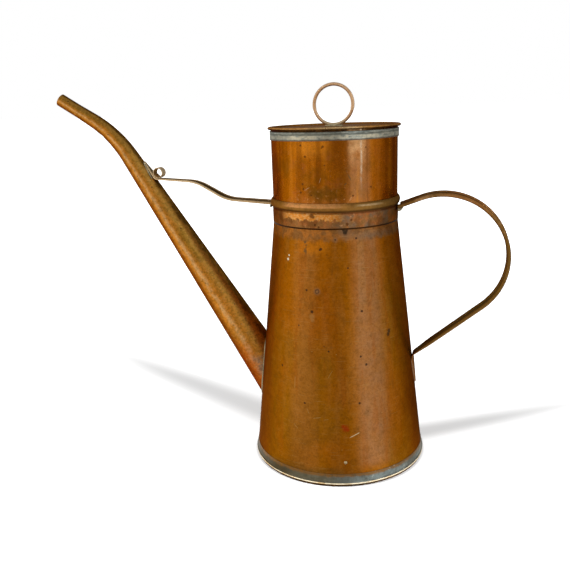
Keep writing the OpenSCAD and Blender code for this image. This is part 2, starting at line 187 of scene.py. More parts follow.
class Shade(Graph):
    """One procedural material of the can; its colour is laid on in layers."""

    WOBBLE, WOBBLE_SCALE = 0.0006, 700

    def __init__(self, name):
        self.mat = bpy.data.materials.new(name)
        self.mat.use_nodes = True
        super().__init__(self.mat.node_tree)
        self.colour = None
        self.wobbly = self.shaken()

    def shaken(self):
        """The object's coordinates, moved about by a noise, for irregular outlines."""
        noise = self.texture("TexNoise", self.place, Scale=self.WOBBLE_SCALE, Detail=2)
        centred = self.vector("SUBTRACT", noise["Color"], (0.5, 0.5, 0.5))
        moved = self.vector("MULTIPLY", centred, (2 * self.WOBBLE,) * 3)
        return self.vector("ADD", self.place, moved)

    def height(self):
        """Height in mm."""
        return self.mul(self.z, 1 / MM)

    def azimuth(self):
        """Azimuth in degrees round the can's axis."""
        return self.mul(self.math("ARCTAN2", self.y, self.x), 180 / math.pi)

    def radius(self):
        """Distance from the can's axis in mm."""
        flat = self.vector("MULTIPLY", self.place, (1 / MM, 1 / MM, 0.0))
        return self.vector("LENGTH", flat, out="Value")

    def left_of(self, azimuth, soft):
        """1 to the left of an azimuth, fading out behind the can so that no edge shows there."""
        az = self.azimuth()
        return self.any(self.step(az, azimuth + soft, azimuth - soft), self.step(az, 140, 180))

    def right_of(self, azimuth, soft):
        """1 to the right of an azimuth, fading out behind the can so that no edge shows there."""
        az = self.azimuth()
        return self.mul(self.step(az, azimuth - soft, azimuth + soft), self.step(az, 180, 140))

    def facing_up(self):
        """1 where the surface faces up, -1 where it faces down."""
        return self.split(self.node("TexCoord").outputs["Normal"])[2]

    def attribute(self, name):
        return self.fed("Attribute", attribute_name=name).outputs["Fac"]

    def noise(self, scale, detail=3.0, rough=0.6, shift=0.0, stretch=(1, 1, 1)):
        place = (shift, shift * 0.7, -shift)
        moved = self.texture("Mapping", self.place, Scale=stretch, Location=place)[0]
        return self.texture("TexNoise", moved, Scale=scale, Detail=detail, Roughness=rough)["Fac"]

    def patches(self, low, high, *noise, **more):
        """1 where a noise is on the high side, 0 where it is on the low side."""
        return self.step(self.noise(*noise, **more), low, high)

    def around(self, scale, tall, shift=0.0, detail=3.0):
        """A noise on azimuth and height, for marks that run round or up the can."""
        turn = self.math("ARCTAN2", self.y, self.x)
        rise = self.add(self.mul(self.height(), tall / 60), shift)
        c = self.fed("CombineXYZ", self.math("COSINE", turn), self.math("SINE", turn), rise)
        return self.texture("TexNoise", c.outputs[0], Scale=scale, Detail=detail)["Fac"]

    def swung(self, value, noise, amount):
        """A value moved up and down by a noise, for ragged limits."""
        return self.add(value, self.mul(self.math("SUBTRACT", noise, 0.5), amount))

    def dots(self, scale, size, keep, shift=0.0):
        """Small round specks at random places; keep is the share of cells that has one."""
        moved = self.texture("Mapping", self.wobbly, Location=(shift,) * 3)[0]
        cells = self.texture("TexVoronoi", moved, Scale=scale)
        inside = self.step(cells["Distance"], size * 1.4, size * 0.6)
        pick = self.fed("SeparateColor", cells["Color"])
        return self.mul(inside, self.step(pick.outputs[0], keep, keep - 0.02))

    def mix(self, fac, a, b):
        n = self.fed("Mix", data_type="RGBA")
        self.link(fac, n.inputs[0])
        self.link(a, n.inputs[6])
        self.link(b, n.inputs[7])
        return n.outputs[2]

    def paint(self, tint, *masks):
        """Lays a tint over the colour so far, as strongly as the masks say together."""
        self.colour = self.mix(self.mul(*masks), self.colour, tint)

    def near(self, point, radius, soft=0.5):
        """1 within a ball round a point, fading out over the given share of its radius."""
        far_off = self.vector("DISTANCE", self.wobbly, point, "Value")
        return self.step(far_off, radius * (1 + soft), radius * (1 - soft))

    def spots(self, marks, surface, soft=0.4):
        """Marks of (azimuth, height, radius in mm) on a surface of the can."""
        return self.any(*(self.near(surface_point(a, z, surface(z)), r * MM, soft) for a, z, r in marks))

    def scratch(self, a, z, r, length, tilt, width):
        """A straight scratch: its middle, its length and width in mm and its tilt in degrees."""
        t, tip = math.radians(a), math.radians(tilt)
        side = (-math.sin(t), math.cos(t))
        along = tuple(c * math.cos(tip) for c in side) + (math.sin(tip),)
        across = tuple(-c * math.sin(tip) for c in side) + (math.cos(tip),)
        off = self.vector("SUBTRACT", self.place, surface_point(a, z, r))
        u = self.math("ABSOLUTE", self.vector("DOT_PRODUCT", off, along, "Value"))
        v = self.math("ABSOLUTE", self.vector("DOT_PRODUCT", off, across, "Value"))
        half = length * MM / 2
        close = self.step(self.vector("LENGTH", off, out="Value"), half * 1.2, half * 0.8)
        return self.mul(self.step(u, half, half * 0.6), self.step(v, width * MM, 0.0), close)

    def scratches(self, marks, surface):
        """Scratches of (azimuth, height, length, tilt, width) on a surface of the can."""
        return self.any(*(self.scratch(a, z, surface(z), *rest) for a, z, *rest in marks))

    def bump(self, height, strength, distance):
        n = self.node("Bump")
        n.inputs["Strength"].default_value = strength
        n.inputs["Distance"].default_value = distance
        self.link(height, n.inputs["Height"])
        return n.outputs[0]

    def finish(self, rough, metallic, normal, edge=(1, 1, 1)):
        bsdf = self.node("BsdfPrincipled")
        inputs = bsdf.inputs
        for name, value in (("Base Color", self.colour), ("Roughness", rough), ("Metallic", metallic),
                            ("Specular Tint", edge), ("Normal", normal)):
            self.link(value, inputs[name])
        self.link(bsdf.outputs[0], self.node("OutputMaterial").inputs[0])
        return self.mat


def assign(names, mat):
    """Gives CAD nodes a material and smooth faces."""
    for name in names:
        mesh = NODES[name].data
        mesh.materials.clear()
        mesh.materials.append(mat)
        for p in mesh.polygons:
            p.use_smooth = True


# ---------------------------------------------------------------- studio

# What the metal reflects at each azimuth in degrees: level and warmth, from 0 cool to 1 warm
SURROUND = [
    (-180, 0.66, 0.6), (-166, 0.76, 0.7), (-150, 0.92, 0.7), (-138, 0.80, 0.8), (-124, 0.58, 1.0),
    (-112, 0.54, 1.0), (-99, 0.64, 1.0), (-88, 0.46, 1.0), (-74, 0.36, 1.0), (-64, 0.42, 0.8),
    (-54, 0.86, 0.2), (-42, 0.98, 0.0), (-30, 0.76, 0.1), (-18, 0.68, 0.4), (0, 0.60, 0.8),
    (14, 0.42, 1.0), (30, 0.22, 1.0), (60, 0.14, 1.0), (100, 0.30, 0.8), (140, 0.42, 0.6),
    (180, 0.66, 0.6),
]
WARM = (1.0, 0.93, 0.80)
COOL = (0.92, 0.97, 1.0)
WHITE = (1.0, 1.0, 1.0)
WORLD_FILL = 0.16
SKY_ABOVE = 0.45        # level of the reflected surround overhead
FLOOR_Z = -0.0002
FLOOR_HALF = 30.0
FLOOR_COLOUR = 0.74
FLOOR_CLEAR = 0.50      # extra white of the floor away from the shade
FLOOR_FAR = 0.9         # extra white of the floor far from the can
BASE_SHADE = (0.079, 0.0835)     # radii between which the shade round the base ends
# Strips of floor that keep their shade: azimuth, centre, half width, narrowing and end, in degrees and mm
SHADE_STRIPS = [(151, -5, 27, 0.035, 640), (31, -6, 18, 0.035, 385)]
LAMPS = [("lamp_right", -29, 31, 98), ("lamp_left", -149, 36, 91)]     # azimuth, elevation, watts
LAMP_DISTANCE = 2.6
LAMP_SIZE = 1.0
LAMP_TARGET = Vector((0, 0, 0.15))


def softbox(name, azimuth, elevation, watts):
    """A square lamp that lights the floor and stays out of reflections."""
    data = bpy.data.lights.new(name, "AREA")
    data.size = LAMP_SIZE
    data.energy = watts
    lamp = bpy.data.objects.new(name, data)
    a, e = math.radians(azimuth), math.radians(elevation)
    toward = Vector((math.cos(a) * math.cos(e), math.sin(a) * math.cos(e), math.sin(e)))
    lamp.location = LAMP_TARGET + toward * LAMP_DISTANCE
    lamp.rotation_euler = (-toward).to_track_quat("-Z", "Y").to_euler()
    lamp.visible_camera = False
    lamp.visible_glossy = False
    bpy.context.scene.collection.objects.link(lamp)


def make_world():
    """White to the camera, a plain fill for light and the surround for reflections."""
    world = bpy.data.worlds.new("studio")
    world.use_nodes = True
    g = Graph(world.node_tree, "Generated")
    direct = g.any(g.ray("Camera"), g.ray("Transmission"))
    seen = g.blend(direct, g.glow("Background", WHITE, WORLD_FILL), g.glow("Background", WHITE, 1.0))
    fade = g.slide(g.z, 0.25, 0.75, 1.0, SKY_ABOVE)
    room = g.glow("Background", g.surround(), fade)
    g.link(g.blend(g.ray("Glossy"), seen, room), g.node("OutputWorld").inputs[0])
    bpy.context.scene.world = world


def shade_strip(g, azimuth, centre, half, narrowing, end):
    """1 along a strip of floor out from the axis, where the can's soft shadow is kept."""
    a = math.radians(azimuth)
    along = g.vector("DOT_PRODUCT", g.place, (math.cos(a) / MM, math.sin(a) / MM, 0.0), "Value")
    across = g.vector("DOT_PRODUCT", g.place, (-math.sin(a) / MM, math.cos(a) / MM, 0.0), "Value")
    off = g.math("ABSOLUTE", g.math("SUBTRACT", across, centre))
    wide = g.add(off, g.mul(along, narrowing))
    return g.mul(g.step(wide, half * 1.7, half * 0.3), g.step(along, 0.0, 40.0),
                 g.step(along, end, end * 0.35))


def make_floor():
    """A pale floor that keeps the can's shadow, is white elsewhere to the camera, and reflects
    in the metal with the studio's own levels."""
    mesh = bpy.data.meshes.new("floor")
    corners = [(x * FLOOR_HALF, y * FLOOR_HALF, FLOOR_Z) for x, y in ((-1, -1), (1, -1), (1, 1), (-1, 1))]
    mesh.from_pydata(corners, [], [(0, 1, 2, 3)])
    floor = bpy.data.objects.new("floor", mesh)
    bpy.context.scene.collection.objects.link(floor)
    mat = bpy.data.materials.new("floor")
    mat.use_nodes = True
    g = Graph(mat.node_tree)
    out_from_axis = g.vector("LENGTH", g.place, out="Value")
    far = g.step(out_from_axis, 0.30, 1.1)
    clear = g.mul(g.outside(g.any(*(shade_strip(g, *strip) for strip in SHADE_STRIPS))),
                  g.step(out_from_axis, *BASE_SHADE))
    level = g.add(g.mul(far, FLOOR_FAR), g.mul(clear, FLOOR_CLEAR))
    direct = g.any(g.ray("Camera"), g.ray("Transmission"))
    matte = g.fed("BsdfDiffuse", (FLOOR_COLOUR,) * 3).outputs[0]
    seen = g.fed("AddShader", matte, g.glow("Emission", WHITE, g.mul(level, direct))).outputs[0]
    room = g.glow("Emission", g.surround(), 1.0)
    g.link(g.blend(g.ray("Glossy"), seen, room), g.node("OutputMaterial").inputs[0])
    mesh.materials.append(mat)


def make_studio():
    make_world()
    make_floor()
    for lamp in LAMPS:
        softbox(*lamp)
    bpy.context.scene.view_settings.view_transform = "Standard"


# ---------------------------------------------------------------- shapes (lengths in mm)

CONE_R0, CONE_Z0, CONE_SLOPE = 79.1, 0.9, 0.1082
NECK_R, NECK_SKIRT_R, HOOP_R = 54.9, 55.5, 57.3
LID_RIM_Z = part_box("lid_plate")[0][2] / MM + 1.2


def cone_r(z):
    """Radius of the body's cone at a height."""
    return CONE_R0 - (z - CONE_Z0) * CONE_SLOPE


def neck_r(z):
    """Radius of the neck at a height: its skirt is a little wider."""
    return NECK_R if z > 238 else NECK_SKIRT_R


def heading(angle):
    a = math.radians(angle)
    return np.array([math.cos(a), math.sin(a)])


def between(a, b, t):
    """What lies a share t of the way from a to b."""
    return a + (b - a) * t


def smooth(t):
    t = min(1.0, max(0.0, t))
    return t * t * (3 - 2 * t)


def halved(low, high, beyond):
    """Where a test turns true between low and high, by halving."""
    for _ in range(40):
        middle = (low + high) / 2
        if beyond(middle):
            high = middle
        else:
            low = middle
    return high


def make_piece(name, rings, mat, body, nodes, closed=False, sharp=35):
    """Skins rings of points, all of one count, into a piece that stands for CAD nodes."""
    n, m = len(rings[0]), len(rings)
    verts = [tuple(float(c) * MM for c in p) for ring in rings for p in ring]
    faces = []
    for j in range(m if closed else m - 1):
        for i in range(n):
            k = (i + 1) % n
            a, b = j * n, (j + 1) % m * n
            faces.append((a + i, a + k, b + k, b + i))
    if not closed:
        faces.append(tuple(range(n - 1, -1, -1)))
        faces.append(tuple((m - 1) * n + i for i in range(n)))
    return finish_piece(name, verts, faces, mat, body, nodes, sharp)


def finish_piece(name, verts, faces, mat, body, nodes, sharp):
    mesh = bpy.data.meshes.new(name)
    mesh.from_pydata(verts, [], faces)
    mesh.update()
    mesh.materials.append(mat)
    mesh.polygons.foreach_set("use_smooth", [True] * len(mesh.polygons))
    mesh.set_sharp_from_angle(angle=math.radians(sharp))
    piece = bpy.data.objects.new(name, mesh)
    bpy.context.scene.collection.objects.link(piece)
    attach(piece, body)
    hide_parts(*nodes)
    return piece


def mark_points(piece, name, values):
    """Stores a number on each vertex, for the piece's material."""
    data = piece.data.attributes.new(name, "FLOAT", "POINT")
    data.data.foreach_set("value", values)


def arc(centre, radius, start, end, steps):
    """Stations (x, z, heading) along an arc, from angle start to angle end."""
    turn = 90 if end > start else -90
    out = []
    for i in range(steps + 1):
        t = between(start, end, i / steps)
        p = np.array(centre) + radius * heading(t)
        out.append((p[0], p[1], t + turn))
    return out


def straight(p, angle, length, steps, first=0):
    """Stations along a straight stretch from a point p."""
    return [tuple(np.array(p) + heading(angle) * length * i / steps) + (angle,)
            for i in range(first, steps + 1)]


def corner(p, before, after, radius, steps):
    """Stations round a corner p where the heading turns on a radius."""
    side = 90 if after > before else -90
    reach = radius / math.cos(math.radians((after - before) / 2))
    centre = np.array(p) + reach * heading((before + after) / 2 + side)
    return arc(centre, radius, before - side, after - side, steps)


def crossing(p, a, q, b):
    """Where the line from p along heading a meets the line through q along heading b."""
    d = np.array(q) - np.array(p)
    reach = (d[0] * math.sin(math.radians(b)) - d[1] * math.cos(math.radians(b)))
    return np.array(p) + reach / math.sin(math.radians(b - a)) * heading(a)


def apart(p, q):
    """Distance between two stations or points."""
    return math.hypot(p[0] - q[0], p[1] - q[1])


# The spout's axis and radii, from the body's wall to the tip, as in the CAD model
RUN, TIP = 122.1, 148.4
RUN_LENGTH, BEND_R, NOSE_LENGTH, TIP_LENGTH = 235.3, 109, 17.6, 19.75
SPOUT_ROOT_R, RUN_END_R, BEND_END_R, TIP_R = 18.4, 8.35, 6.45, 5.9
SPOUT_WALL = 0.8
SPOUT_PROUD = 0.12      # the spout's shell starts this far out of the body's cone
LIP_ROUND = 0.15
ROOT = np.array([-cone_r(80), 80.0])
BEND_START = ROOT + RUN_LENGTH * heading(RUN)
BEND_CENTRE = BEND_START + BEND_R * heading(RUN + 90)
BEND_END = BEND_CENTRE + BEND_R * heading(TIP - 90)
TIP_START = BEND_END + NOSE_LENGTH * heading(TIP)
SPOUT_SIDES, RUN_STEPS, BEND_STEPS, NOSE_STEPS, TIP_STEPS = 72, 90, 40, 12, 14
# Small creases on the bend: depth, centre and size, and the way they push the sheet
CREASES = [(0.55, (-221.0, -3.0, 299.5), (2.6, 5.0, 1.8)), (0.35, (-214.5, -4.5, 291.0), (1.8, 4.0, 1.6))]
CREASE_WAY = np.array([0.55, 0.0, 0.8])


def spout_rings(shrink):
    """Rings of the spout's wall, taken in by shrink; the first lies on the body's cone."""
    around = [2 * math.pi * k / SPOUT_SIDES for k in range(SPOUT_SIDES)]

    def point(s, r, q):
        x, z, h = s
        n = heading(h + 90)
        return (x + r * math.cos(q) * n[0], r * math.sin(q), z + r * math.cos(q) * n[1])

    def run(d, q):
        r = between(SPOUT_ROOT_R, RUN_END_R, d / RUN_LENGTH) - shrink
        return point((*(ROOT + d * heading(RUN)), RUN), r, q)

    def proud(d, q):
        x, y, z = run(d, q)
        return math.hypot(x, y) > cone_r(z) + SPOUT_PROUD

    starts = [halved(-40.0, 60.0, lambda d: proud(d, q)) for q in around]
    rings = [[run(between(d, RUN_LENGTH, j / RUN_STEPS), q) for d, q in zip(starts, around)]
             for j in range(RUN_STEPS)]
    bend = arc(BEND_CENTRE, BEND_R, RUN - 90, TIP - 90, BEND_STEPS)
    nose = straight(BEND_END, TIP, NOSE_LENGTH, NOSE_STEPS, 1)
    tip = straight(TIP_START, TIP, TIP_LENGTH, TIP_STEPS, 1)
    rest = [(s, between(RUN_END_R, BEND_END_R, i / BEND_STEPS)) for i, s in enumerate(bend)]
    rest += [(s, between(BEND_END_R, TIP_R, i / NOSE_STEPS)) for i, s in enumerate(nose, 1)]
    rest += [(s, TIP_R) for s in tip]
    return rings + [[point(s, r - shrink, q) for q in around] for s, r in rest]


def dent(p, depth, centre, size):
    """Depth at a point p of a soft dent round a centre."""
    d2 = sum(((a - b) / c) ** 2 for a, b, c in zip(p, centre, size))
    return depth * math.exp(-d2)


def make_spout(mat):
    """The spout's sheet: up the outside, over a softly rounded lip and back down the bore."""
    outer, inner = spout_rings(0), spout_rings(SPOUT_WALL)
    out = np.array([heading(TIP)[0], 0, heading(TIP)[1]]) * LIP_ROUND
    lip = [tuple((np.array(a) + np.array(b)) / 2 + out) for a, b in zip(outer[-1], inner[-1])]
    rings = outer + [lip] + inner[::-1]
    piece = make_piece("spout_shell", rings, mat, "can", ["spout"], closed=True, sharp=50)
    for v in piece.data.vertices:
        p = np.array(v.co) / MM
        wave = 0.06 * math.sin(p[2] * 0.21 + 1.0) * math.sin(p[0] * 0.13 + p[1] * 0.3)
        crease = sum(dent(p, *c) for c in CREASES)
        v.co = Vector((p + CREASE_WAY * crease + np.array([0, wave, wave * 0.5])) * MM)
    flank = [math.cos(2 * math.pi * k / SPOUT_SIDES) for k in range(SPOUT_SIDES)]
    mark_points(piece, "flank", flank * len(rings))


# The handle and the stay: straps with rolled edges, each ending flat and in a point
ROLL_POINTS = 11
WEB_RIM = [0.5, 0.0, 0.0, 0.0, 0.5]
STRAP_RIM = ([1.0] * ROLL_POINTS + WEB_RIM) * 2
BOW, BOW_R = np.array([94.0, 188.6]), 55.42
HANDLE_SLOPES = (20.0, 38.9)             # of the top and of the leg, in degrees
HANDLE_W, TAB_W, STAY_W, FOOT_W, POINT_W = 21, 13, 18, 9, 2.4
HANDLE_EDGE, STAY_EDGE, STAY_END_EDGE, FLAT_EDGE = 3.6, 2.6, 1.5, 1.4
WEB, FLAT_WEB = 0.9, 1.38
TAB_LENGTH, TAB_BEND, TAB_FLAT = 27, 5, 14
STAY_SLOPES = (4.4, 29.0, 4.0)           # of the stay's three stretches, in degrees
STAY_XS = (55.5, 100.5, 129.5)           # where the stretches start
STAY_ROOT_Z, STAY_BEND = 236.5, 40
FOOT_LENGTH, FOOT_TAPER, FOOT_BEND, FOOT_FLAT_X = 19, 17, 3, 155
STRAP_GAP = 0.8                          # from a surface to the middle of a strap lying on it
HANDLE_TAB, STAY_FOOT = {}, {}           # where the pointed ends lie, for their solder


def strap_ring(s, w, edge, web):
    """One cross-section of a strap: a web between two rolled edges."""
    x, z, h = s
    up = heading(h + 90)
    b = math.asin(min(1, web / edge))
    rolls = []
    for side in (1, -1):
        turns = [b + (2 * math.pi - 2 * b) * i / (ROLL_POINTS - 1) - (math.pi if side > 0 else 0)
                 for i in range(ROLL_POINTS)]
        rolls.append([(side * (w - edge) / 2 + edge / 2 * math.cos(t), edge / 2 * math.sin(t))
                      for t in turns])
    flat = []
    for roll, other in (rolls, rolls[::-1]):
        flat += roll
        for k in range(1, len(WEB_RIM) + 1):
            u = k / (len(WEB_RIM) + 1)
            flat.append(tuple(between(a, c, u) for a, c in zip(roll[-1], other[0])))
    return [(x + q * up[0], y, z + q * up[1]) for y, q in flat]


def to_hoop(ring, angle, sign):
    """Slides the points of a strap's end along its heading onto the hoop."""
    d = heading(angle)
    out = []
    for x, y, z in ring:
        t = halved(-12.0, 12.0, lambda t: (math.hypot(x + t * d[0], y) > HOOP_R) == (sign > 0))
        out.append((x + t * d[0], y, z + t * d[1]))
    return out


def make_strap(name, rings, mat, node):
    """Skins a strap's cross-sections and marks its rolled edges."""
    piece = make_piece(name, [r[::-1] for r in rings], mat, "can", [node], sharp=40)
    mark_points(piece, "rim", STRAP_RIM[::-1] * len(rings))


def make_handle(mat):
    """The handle: out from the hoop, round the bow, down the leg and flat along the body."""
    top_slope, low_slope = HANDLE_SLOPES
    lean = math.atan(CONE_SLOPE)
    low_heading, tab_heading = 180 + low_slope, 270 + math.degrees(lean)
    top = BOW + BOW_R * heading(90 + top_slope)
    length = (top[0] - HOOP_R) / math.cos(math.radians(top_slope))
    root = top - length * heading(top_slope)
    bow_low = BOW + BOW_R * heading(low_slope - 90)
    wall = (cone_r(0) + STRAP_GAP / math.cos(lean), 0)
    tab_corner = crossing(bow_low, low_heading, wall, tab_heading)
    bend = corner(tab_corner, low_heading, tab_heading, TAB_BEND, 14)
    last = np.array(bend[-1][:2])
    tab = apart(last, tab_corner + TAB_LENGTH * heading(tab_heading))
    route = [(*root, top_slope)]
    route += straight(root, top_slope, length, 6, 1)[:-1]
    route += arc(BOW, BOW_R, 90 + top_slope, low_slope - 90, 90)[:-1]
    route += straight(bow_low, low_heading, apart(bend[0], bow_low), 16)[:-1]
    route += bend
    route += straight(last, tab_heading, tab, 12, 1)

    def tab_width(u):
        return between(TAB_W, POINT_W, (u / tab) ** 1.3)

    top_z = BOW[1] + BOW_R
    rings = []
    for x, z, h in route:
        on_top = h <= top_slope + 0.1 and x < BOW[0]
        t = 0 if on_top else min(1, max(0, (top_z - z) / (top_z - tab_corner[1])))
        w = tab_width(apart((x, z), last)) if z < last[1] else between(HANDLE_W, TAB_W, t)
        low = x < 100 and z < 120
        flat = smooth((tab_corner[1] + TAB_FLAT - z) / TAB_FLAT) if low else 0
        edge, web = between(HANDLE_EDGE, FLAT_EDGE, flat), between(WEB, FLAT_WEB, flat)
        rings.append(strap_ring((x, z, h), w, edge, web))
    rings[0] = to_hoop(rings[0], top_slope, 1)
    make_strap("handle_strap", rings, mat, "handle")
    HANDLE_TAB.update(start=last, angle=tab_heading, reach=tab,
                      half=lambda u: tab_width(u) / 2 if u < tab else 1.0)


def make_stay(mat):
    """The stay: from the hoop in three stretches to the spout, and flat along it to its foot."""
    h1, h2, h3 = (180 - slope for slope in STAY_SLOPES)
    x1, x2, x3 = STAY_XS
    root = np.array([-x1, STAY_ROOT_Z])
    c1 = root + (x2 - x1) / math.cos(math.radians(STAY_SLOPES[0])) * heading(h1)
    c2 = c1 + (x3 - x2) / math.cos(math.radians(STAY_SLOPES[1])) * heading(h2)
    foot = RUN + math.degrees(math.atan((SPOUT_ROOT_R - RUN_END_R) / RUN_LENGTH))
    c3 = crossing(c2, h3, ROOT + (SPOUT_ROOT_R + STRAP_GAP) * heading(RUN - 90), foot)
    bends = [corner(c1, h1, h2, STAY_BEND, 20), corner(c2, h2, h3, STAY_BEND, 20),
             corner(c3, h3, foot, FOOT_BEND, 12)]
    route = [(*root, h1)]
    for bend, steps in zip(bends, (10, 4, 10)):
        route += straight(route[-1][:2], bend[0][2], apart(bend[0], route[-1]), steps, 1)[:-1]
        route += bend
    last = np.array(route[-1][:2])
    reach = apart(last, c3 + FOOT_LENGTH * heading(foot))
    route += straight(last, foot, reach, 10, 1)

    def foot_width(u):
        return between(FOOT_W, POINT_W, min(1, u / FOOT_TAPER) ** 1.5)

    rings = []
    for x, z, h in route:
        t = min(1, max(0, (-x - x1) / (-c3[0] - x1)))
        on_foot = h < h3 - 50
        w = foot_width(apart((x, z), last)) if on_foot else between(STAY_W, FOOT_W, t)
        flat = smooth((-x - FOOT_FLAT_X) / 10)
        edge = between(between(STAY_EDGE, STAY_END_EDGE, t), FLAT_EDGE, flat)
        rings.append(strap_ring((x, z, h), w, edge, min(between(WEB, FLAT_WEB, flat), edge * 0.98)))
    rings[0] = to_hoop(rings[0], h1, -1)
    make_strap("stay_strap", rings, mat, "stay")
    STAY_FOOT.update(start=last, angle=foot, reach=reach, half=lambda u: foot_width(u) / 2)


BEAD_SIDES = 12


def make_bead(name, path, radius, nodes, seed, closed=False):
    """An uneven bead of solder along a path of points."""
    pts = [np.array(p, float) for p in path]
    n = len(pts)
    rings = []
    for i, p in enumerate(pts):
        a = pts[(i - 1) % n] if closed or i > 0 else p
        b = pts[(i + 1) % n] if closed or i < n - 1 else p
        t = (b - a) / np.linalg.norm(b - a)
        side = np.cross(t, np.array([0.37, 0.61, 0.70]))
        side /= np.linalg.norm(side)
        up = np.cross(side, t)
        u = i / n
        wave = 1 + 0.16 * math.sin(2 * math.pi * (5 * u + seed))
        wave += 0.12 * math.sin(2 * math.pi * (11 * u + 2 * seed))
        if not closed:
            end = min(i, n - 1 - i) / max(1, n * 0.16)
            wave *= math.sqrt(max(0.02, 1 - (1 - min(1, end)) ** 2))
        r = radius * wave
        rings.append([tuple(p + r * (math.cos(q) * side + math.sin(q) * up))
                      for q in (2 * math.pi * k / BEAD_SIDES for k in range(BEAD_SIDES))])
    make_piece(name, rings, MATS["solder"], "can", nodes, closed=closed, sharp=70)


def make_lump(name, centre, size, nodes, body, seed):
    """An uneven lump of solder: a ball drawn to a size, with soft hollows."""
    verts, faces = [], []
    rows, count = 24, 48
    for j in range(rows + 1):
        p = math.pi * j / rows
        for k in range(count):
            q = 2 * math.pi * k / count
            d = np.array([math.sin(p) * math.cos(q), math.sin(p) * math.sin(q), math.cos(p)])
            wave = 0.95 + 0.07 * math.sin(4 * d[0] + 3 * d[1] + seed) * math.cos(3 * d[2] + 2 * d[0])
            verts.append(tuple(float(c) * MM for c in np.array(centre) + np.array(size) * d * wave))
    for j in range(rows):
        for k in range(count):
            a, b = j * count, (j + 1) * count
            kk = (k + 1) % count
            if j == 0:
                faces.append((a, b + k, b + kk))
            elif j == rows - 1:
                faces.append((a + k, b, a + kk))
            else:
                faces.append((a + k, b + k, b + kk, a + kk))
    finish_piece(name, verts, faces, MATS["solder"], body, nodes, 80)


# The base's section (radius, height): under the disc, round the rim's bead and back on top
BASE_UNDER = [(0.01, 0.0), (40.0, 0.0), (77.5, 0.0), (78.6, 0.05), (79.1, 0.4), (79.25, 1.1), (79.2, 1.9)]
BASE_BEAD, BASE_BEAD_R = np.array([79.2, 2.8]), 0.78
BASE_TOP = [(78.45, 2.2), (78.4, 0.8), (40.0, 0.8), (0.01, 0.8)]


def make_base(mat):
    """The base: a disc whose turned-up rim ends in a small bead."""
    bead = [tuple(BASE_BEAD + BASE_BEAD_R * heading(-75 + 255 * i / 12)) for i in range(13)]
    profile = BASE_UNDER + bead + BASE_TOP
    count = 256
    rings = []
    for k in range(count):
        a = 2 * math.pi * k / count
        rings.append([(r * math.cos(a), r * math.sin(a), z) for r, z in profile[::-1]])
    make_piece("base_pan", rings, mat, "can", ["base_disc"], closed=True, sharp=40)


CURL, CURL_R, CURL_HALF_W = (-167.2, 264.5), 4.42, 4.0
# The strip's section, as shares of its half thickness and half width
CURL_SECTION = [(-1, -0.9), (-0.75, -1), (0.75, -1), (1, -0.9), (1, 0.9), (0.75, 1), (-0.75, 1), (-1, 0.9)]


def make_curl(mat):
    """The rolled eye at the stay's foot: a strip wound a little more than once round."""
    count = 90
    rings = []
    for i in range(count + 1):
        t = i / count
        c = heading(-95 - 425 * t)
        r = CURL_R - 0.95 * smooth((t - 0.72) / 0.28)
        half = 0.55 - 0.25 * smooth((t - 0.9) / 0.1)
        w = CURL_HALF_W - 0.4 * smooth((t - 0.8) / 0.2)
        rings.append([(CURL[0] + (r + half * a) * c[0], w * b, CURL[1] + (r + half * a) * c[1])
                      for a, b in CURL_SECTION])
    make_piece("curl_roll", rings, mat, "can", ["stay_curl"], sharp=50)


def edge_bead(name, node, strap, toward, surface_r, radius, seed):
    """A bead round a strap's pointed end: down one edge, over the point and up the other."""
    pts = []
    steps = 24
    for side, order in ((1, range(steps + 1)), (-1, range(steps - 1, -1, -1))):
        for i in order:
            u = (strap["reach"] + 0.3) * i / steps
            half = strap["half"](u) + 0.35
            lift = 0.5 + half * half / 2 / surface_r
            x, z = strap["start"] + u * heading(strap["angle"]) + lift * heading(strap["angle"] + toward)
            pts.append((x, side * half, z))
    make_bead(name, pts, radius, [node], seed)


def hoop_bead(name, node, r, z, spread, radius, seed):
    """A bead along the hoop where a strap leaves it; a negative r is on the spout's side."""
    path = []
    for angle in np.linspace(-spread, spread, 30):
        a = math.radians(angle)
        path.append((r * math.cos(a), abs(r) * math.sin(a), z))
    make_bead(name, path, radius, [node], seed)


def make_solders():
    """Organic solder in place of the plain CAD pieces."""
    make_bead("spout_bead", spout_rings(-0.25)[0], 0.85, ["spout_solder"], 0.3, closed=True)
    hoop_bead("stay_bead", "stay_solder", -57.6, 234.4, 11, 1.15, 0.7)
    hoop_bead("handle_bead", "handle_top_solder", 58.0, 231.6, 12.5, 1.5, 0.1)
    make_lump("ring_lump", (0, 0, 302.75), (8.3, 2.7, 2.15), ["ring_solder"], "lid", 0.6)
    edge_bead("foot_bead", "foot_solder", STAY_FOOT, 90, 9.5, 0.75, 0.4)
    edge_bead("tab_bead", "handle_tab_solder", HANDLE_TAB, -90, 70.0, 0.8, 0.9)


# ---------------------------------------------------------------- materials

COPPER = (0.47, 0.142, 0.002)
COPPER_OLIVE = (0.385, 0.140, 0.003)
COPPER_RED = (0.36, 0.094, 0.003)
COPPER_PALE = (0.52, 0.205, 0.042)
COPPER_PINK = (0.46, 0.210, 0.088)
COPPER_RAW = (1.0, 0.50, 0.15)
COPPER_ORANGE = (0.72, 0.23, 0.010)
SCORCH = (0.37, 0.165, 0.052)
SCORCH_BLUE = (0.29, 0.180, 0.105)
PIT = (0.035, 0.028, 0.018)
SPECK = (0.80, 0.72, 0.50)
BRASS = (0.26, 0.125, 0.030)
BRASS_DARK = (0.085, 0.058, 0.020)
BRASS_FOOT_HIGHLIGHT = (0.78, 0.60, 0.36)
TIN = (0.27, 0.29, 0.26)
TIN_DARK = (0.085, 0.090, 0.075)
TIN_PALE = (0.74, 0.74, 0.64)
GREEN = (0.075, 0.085, 0.045)
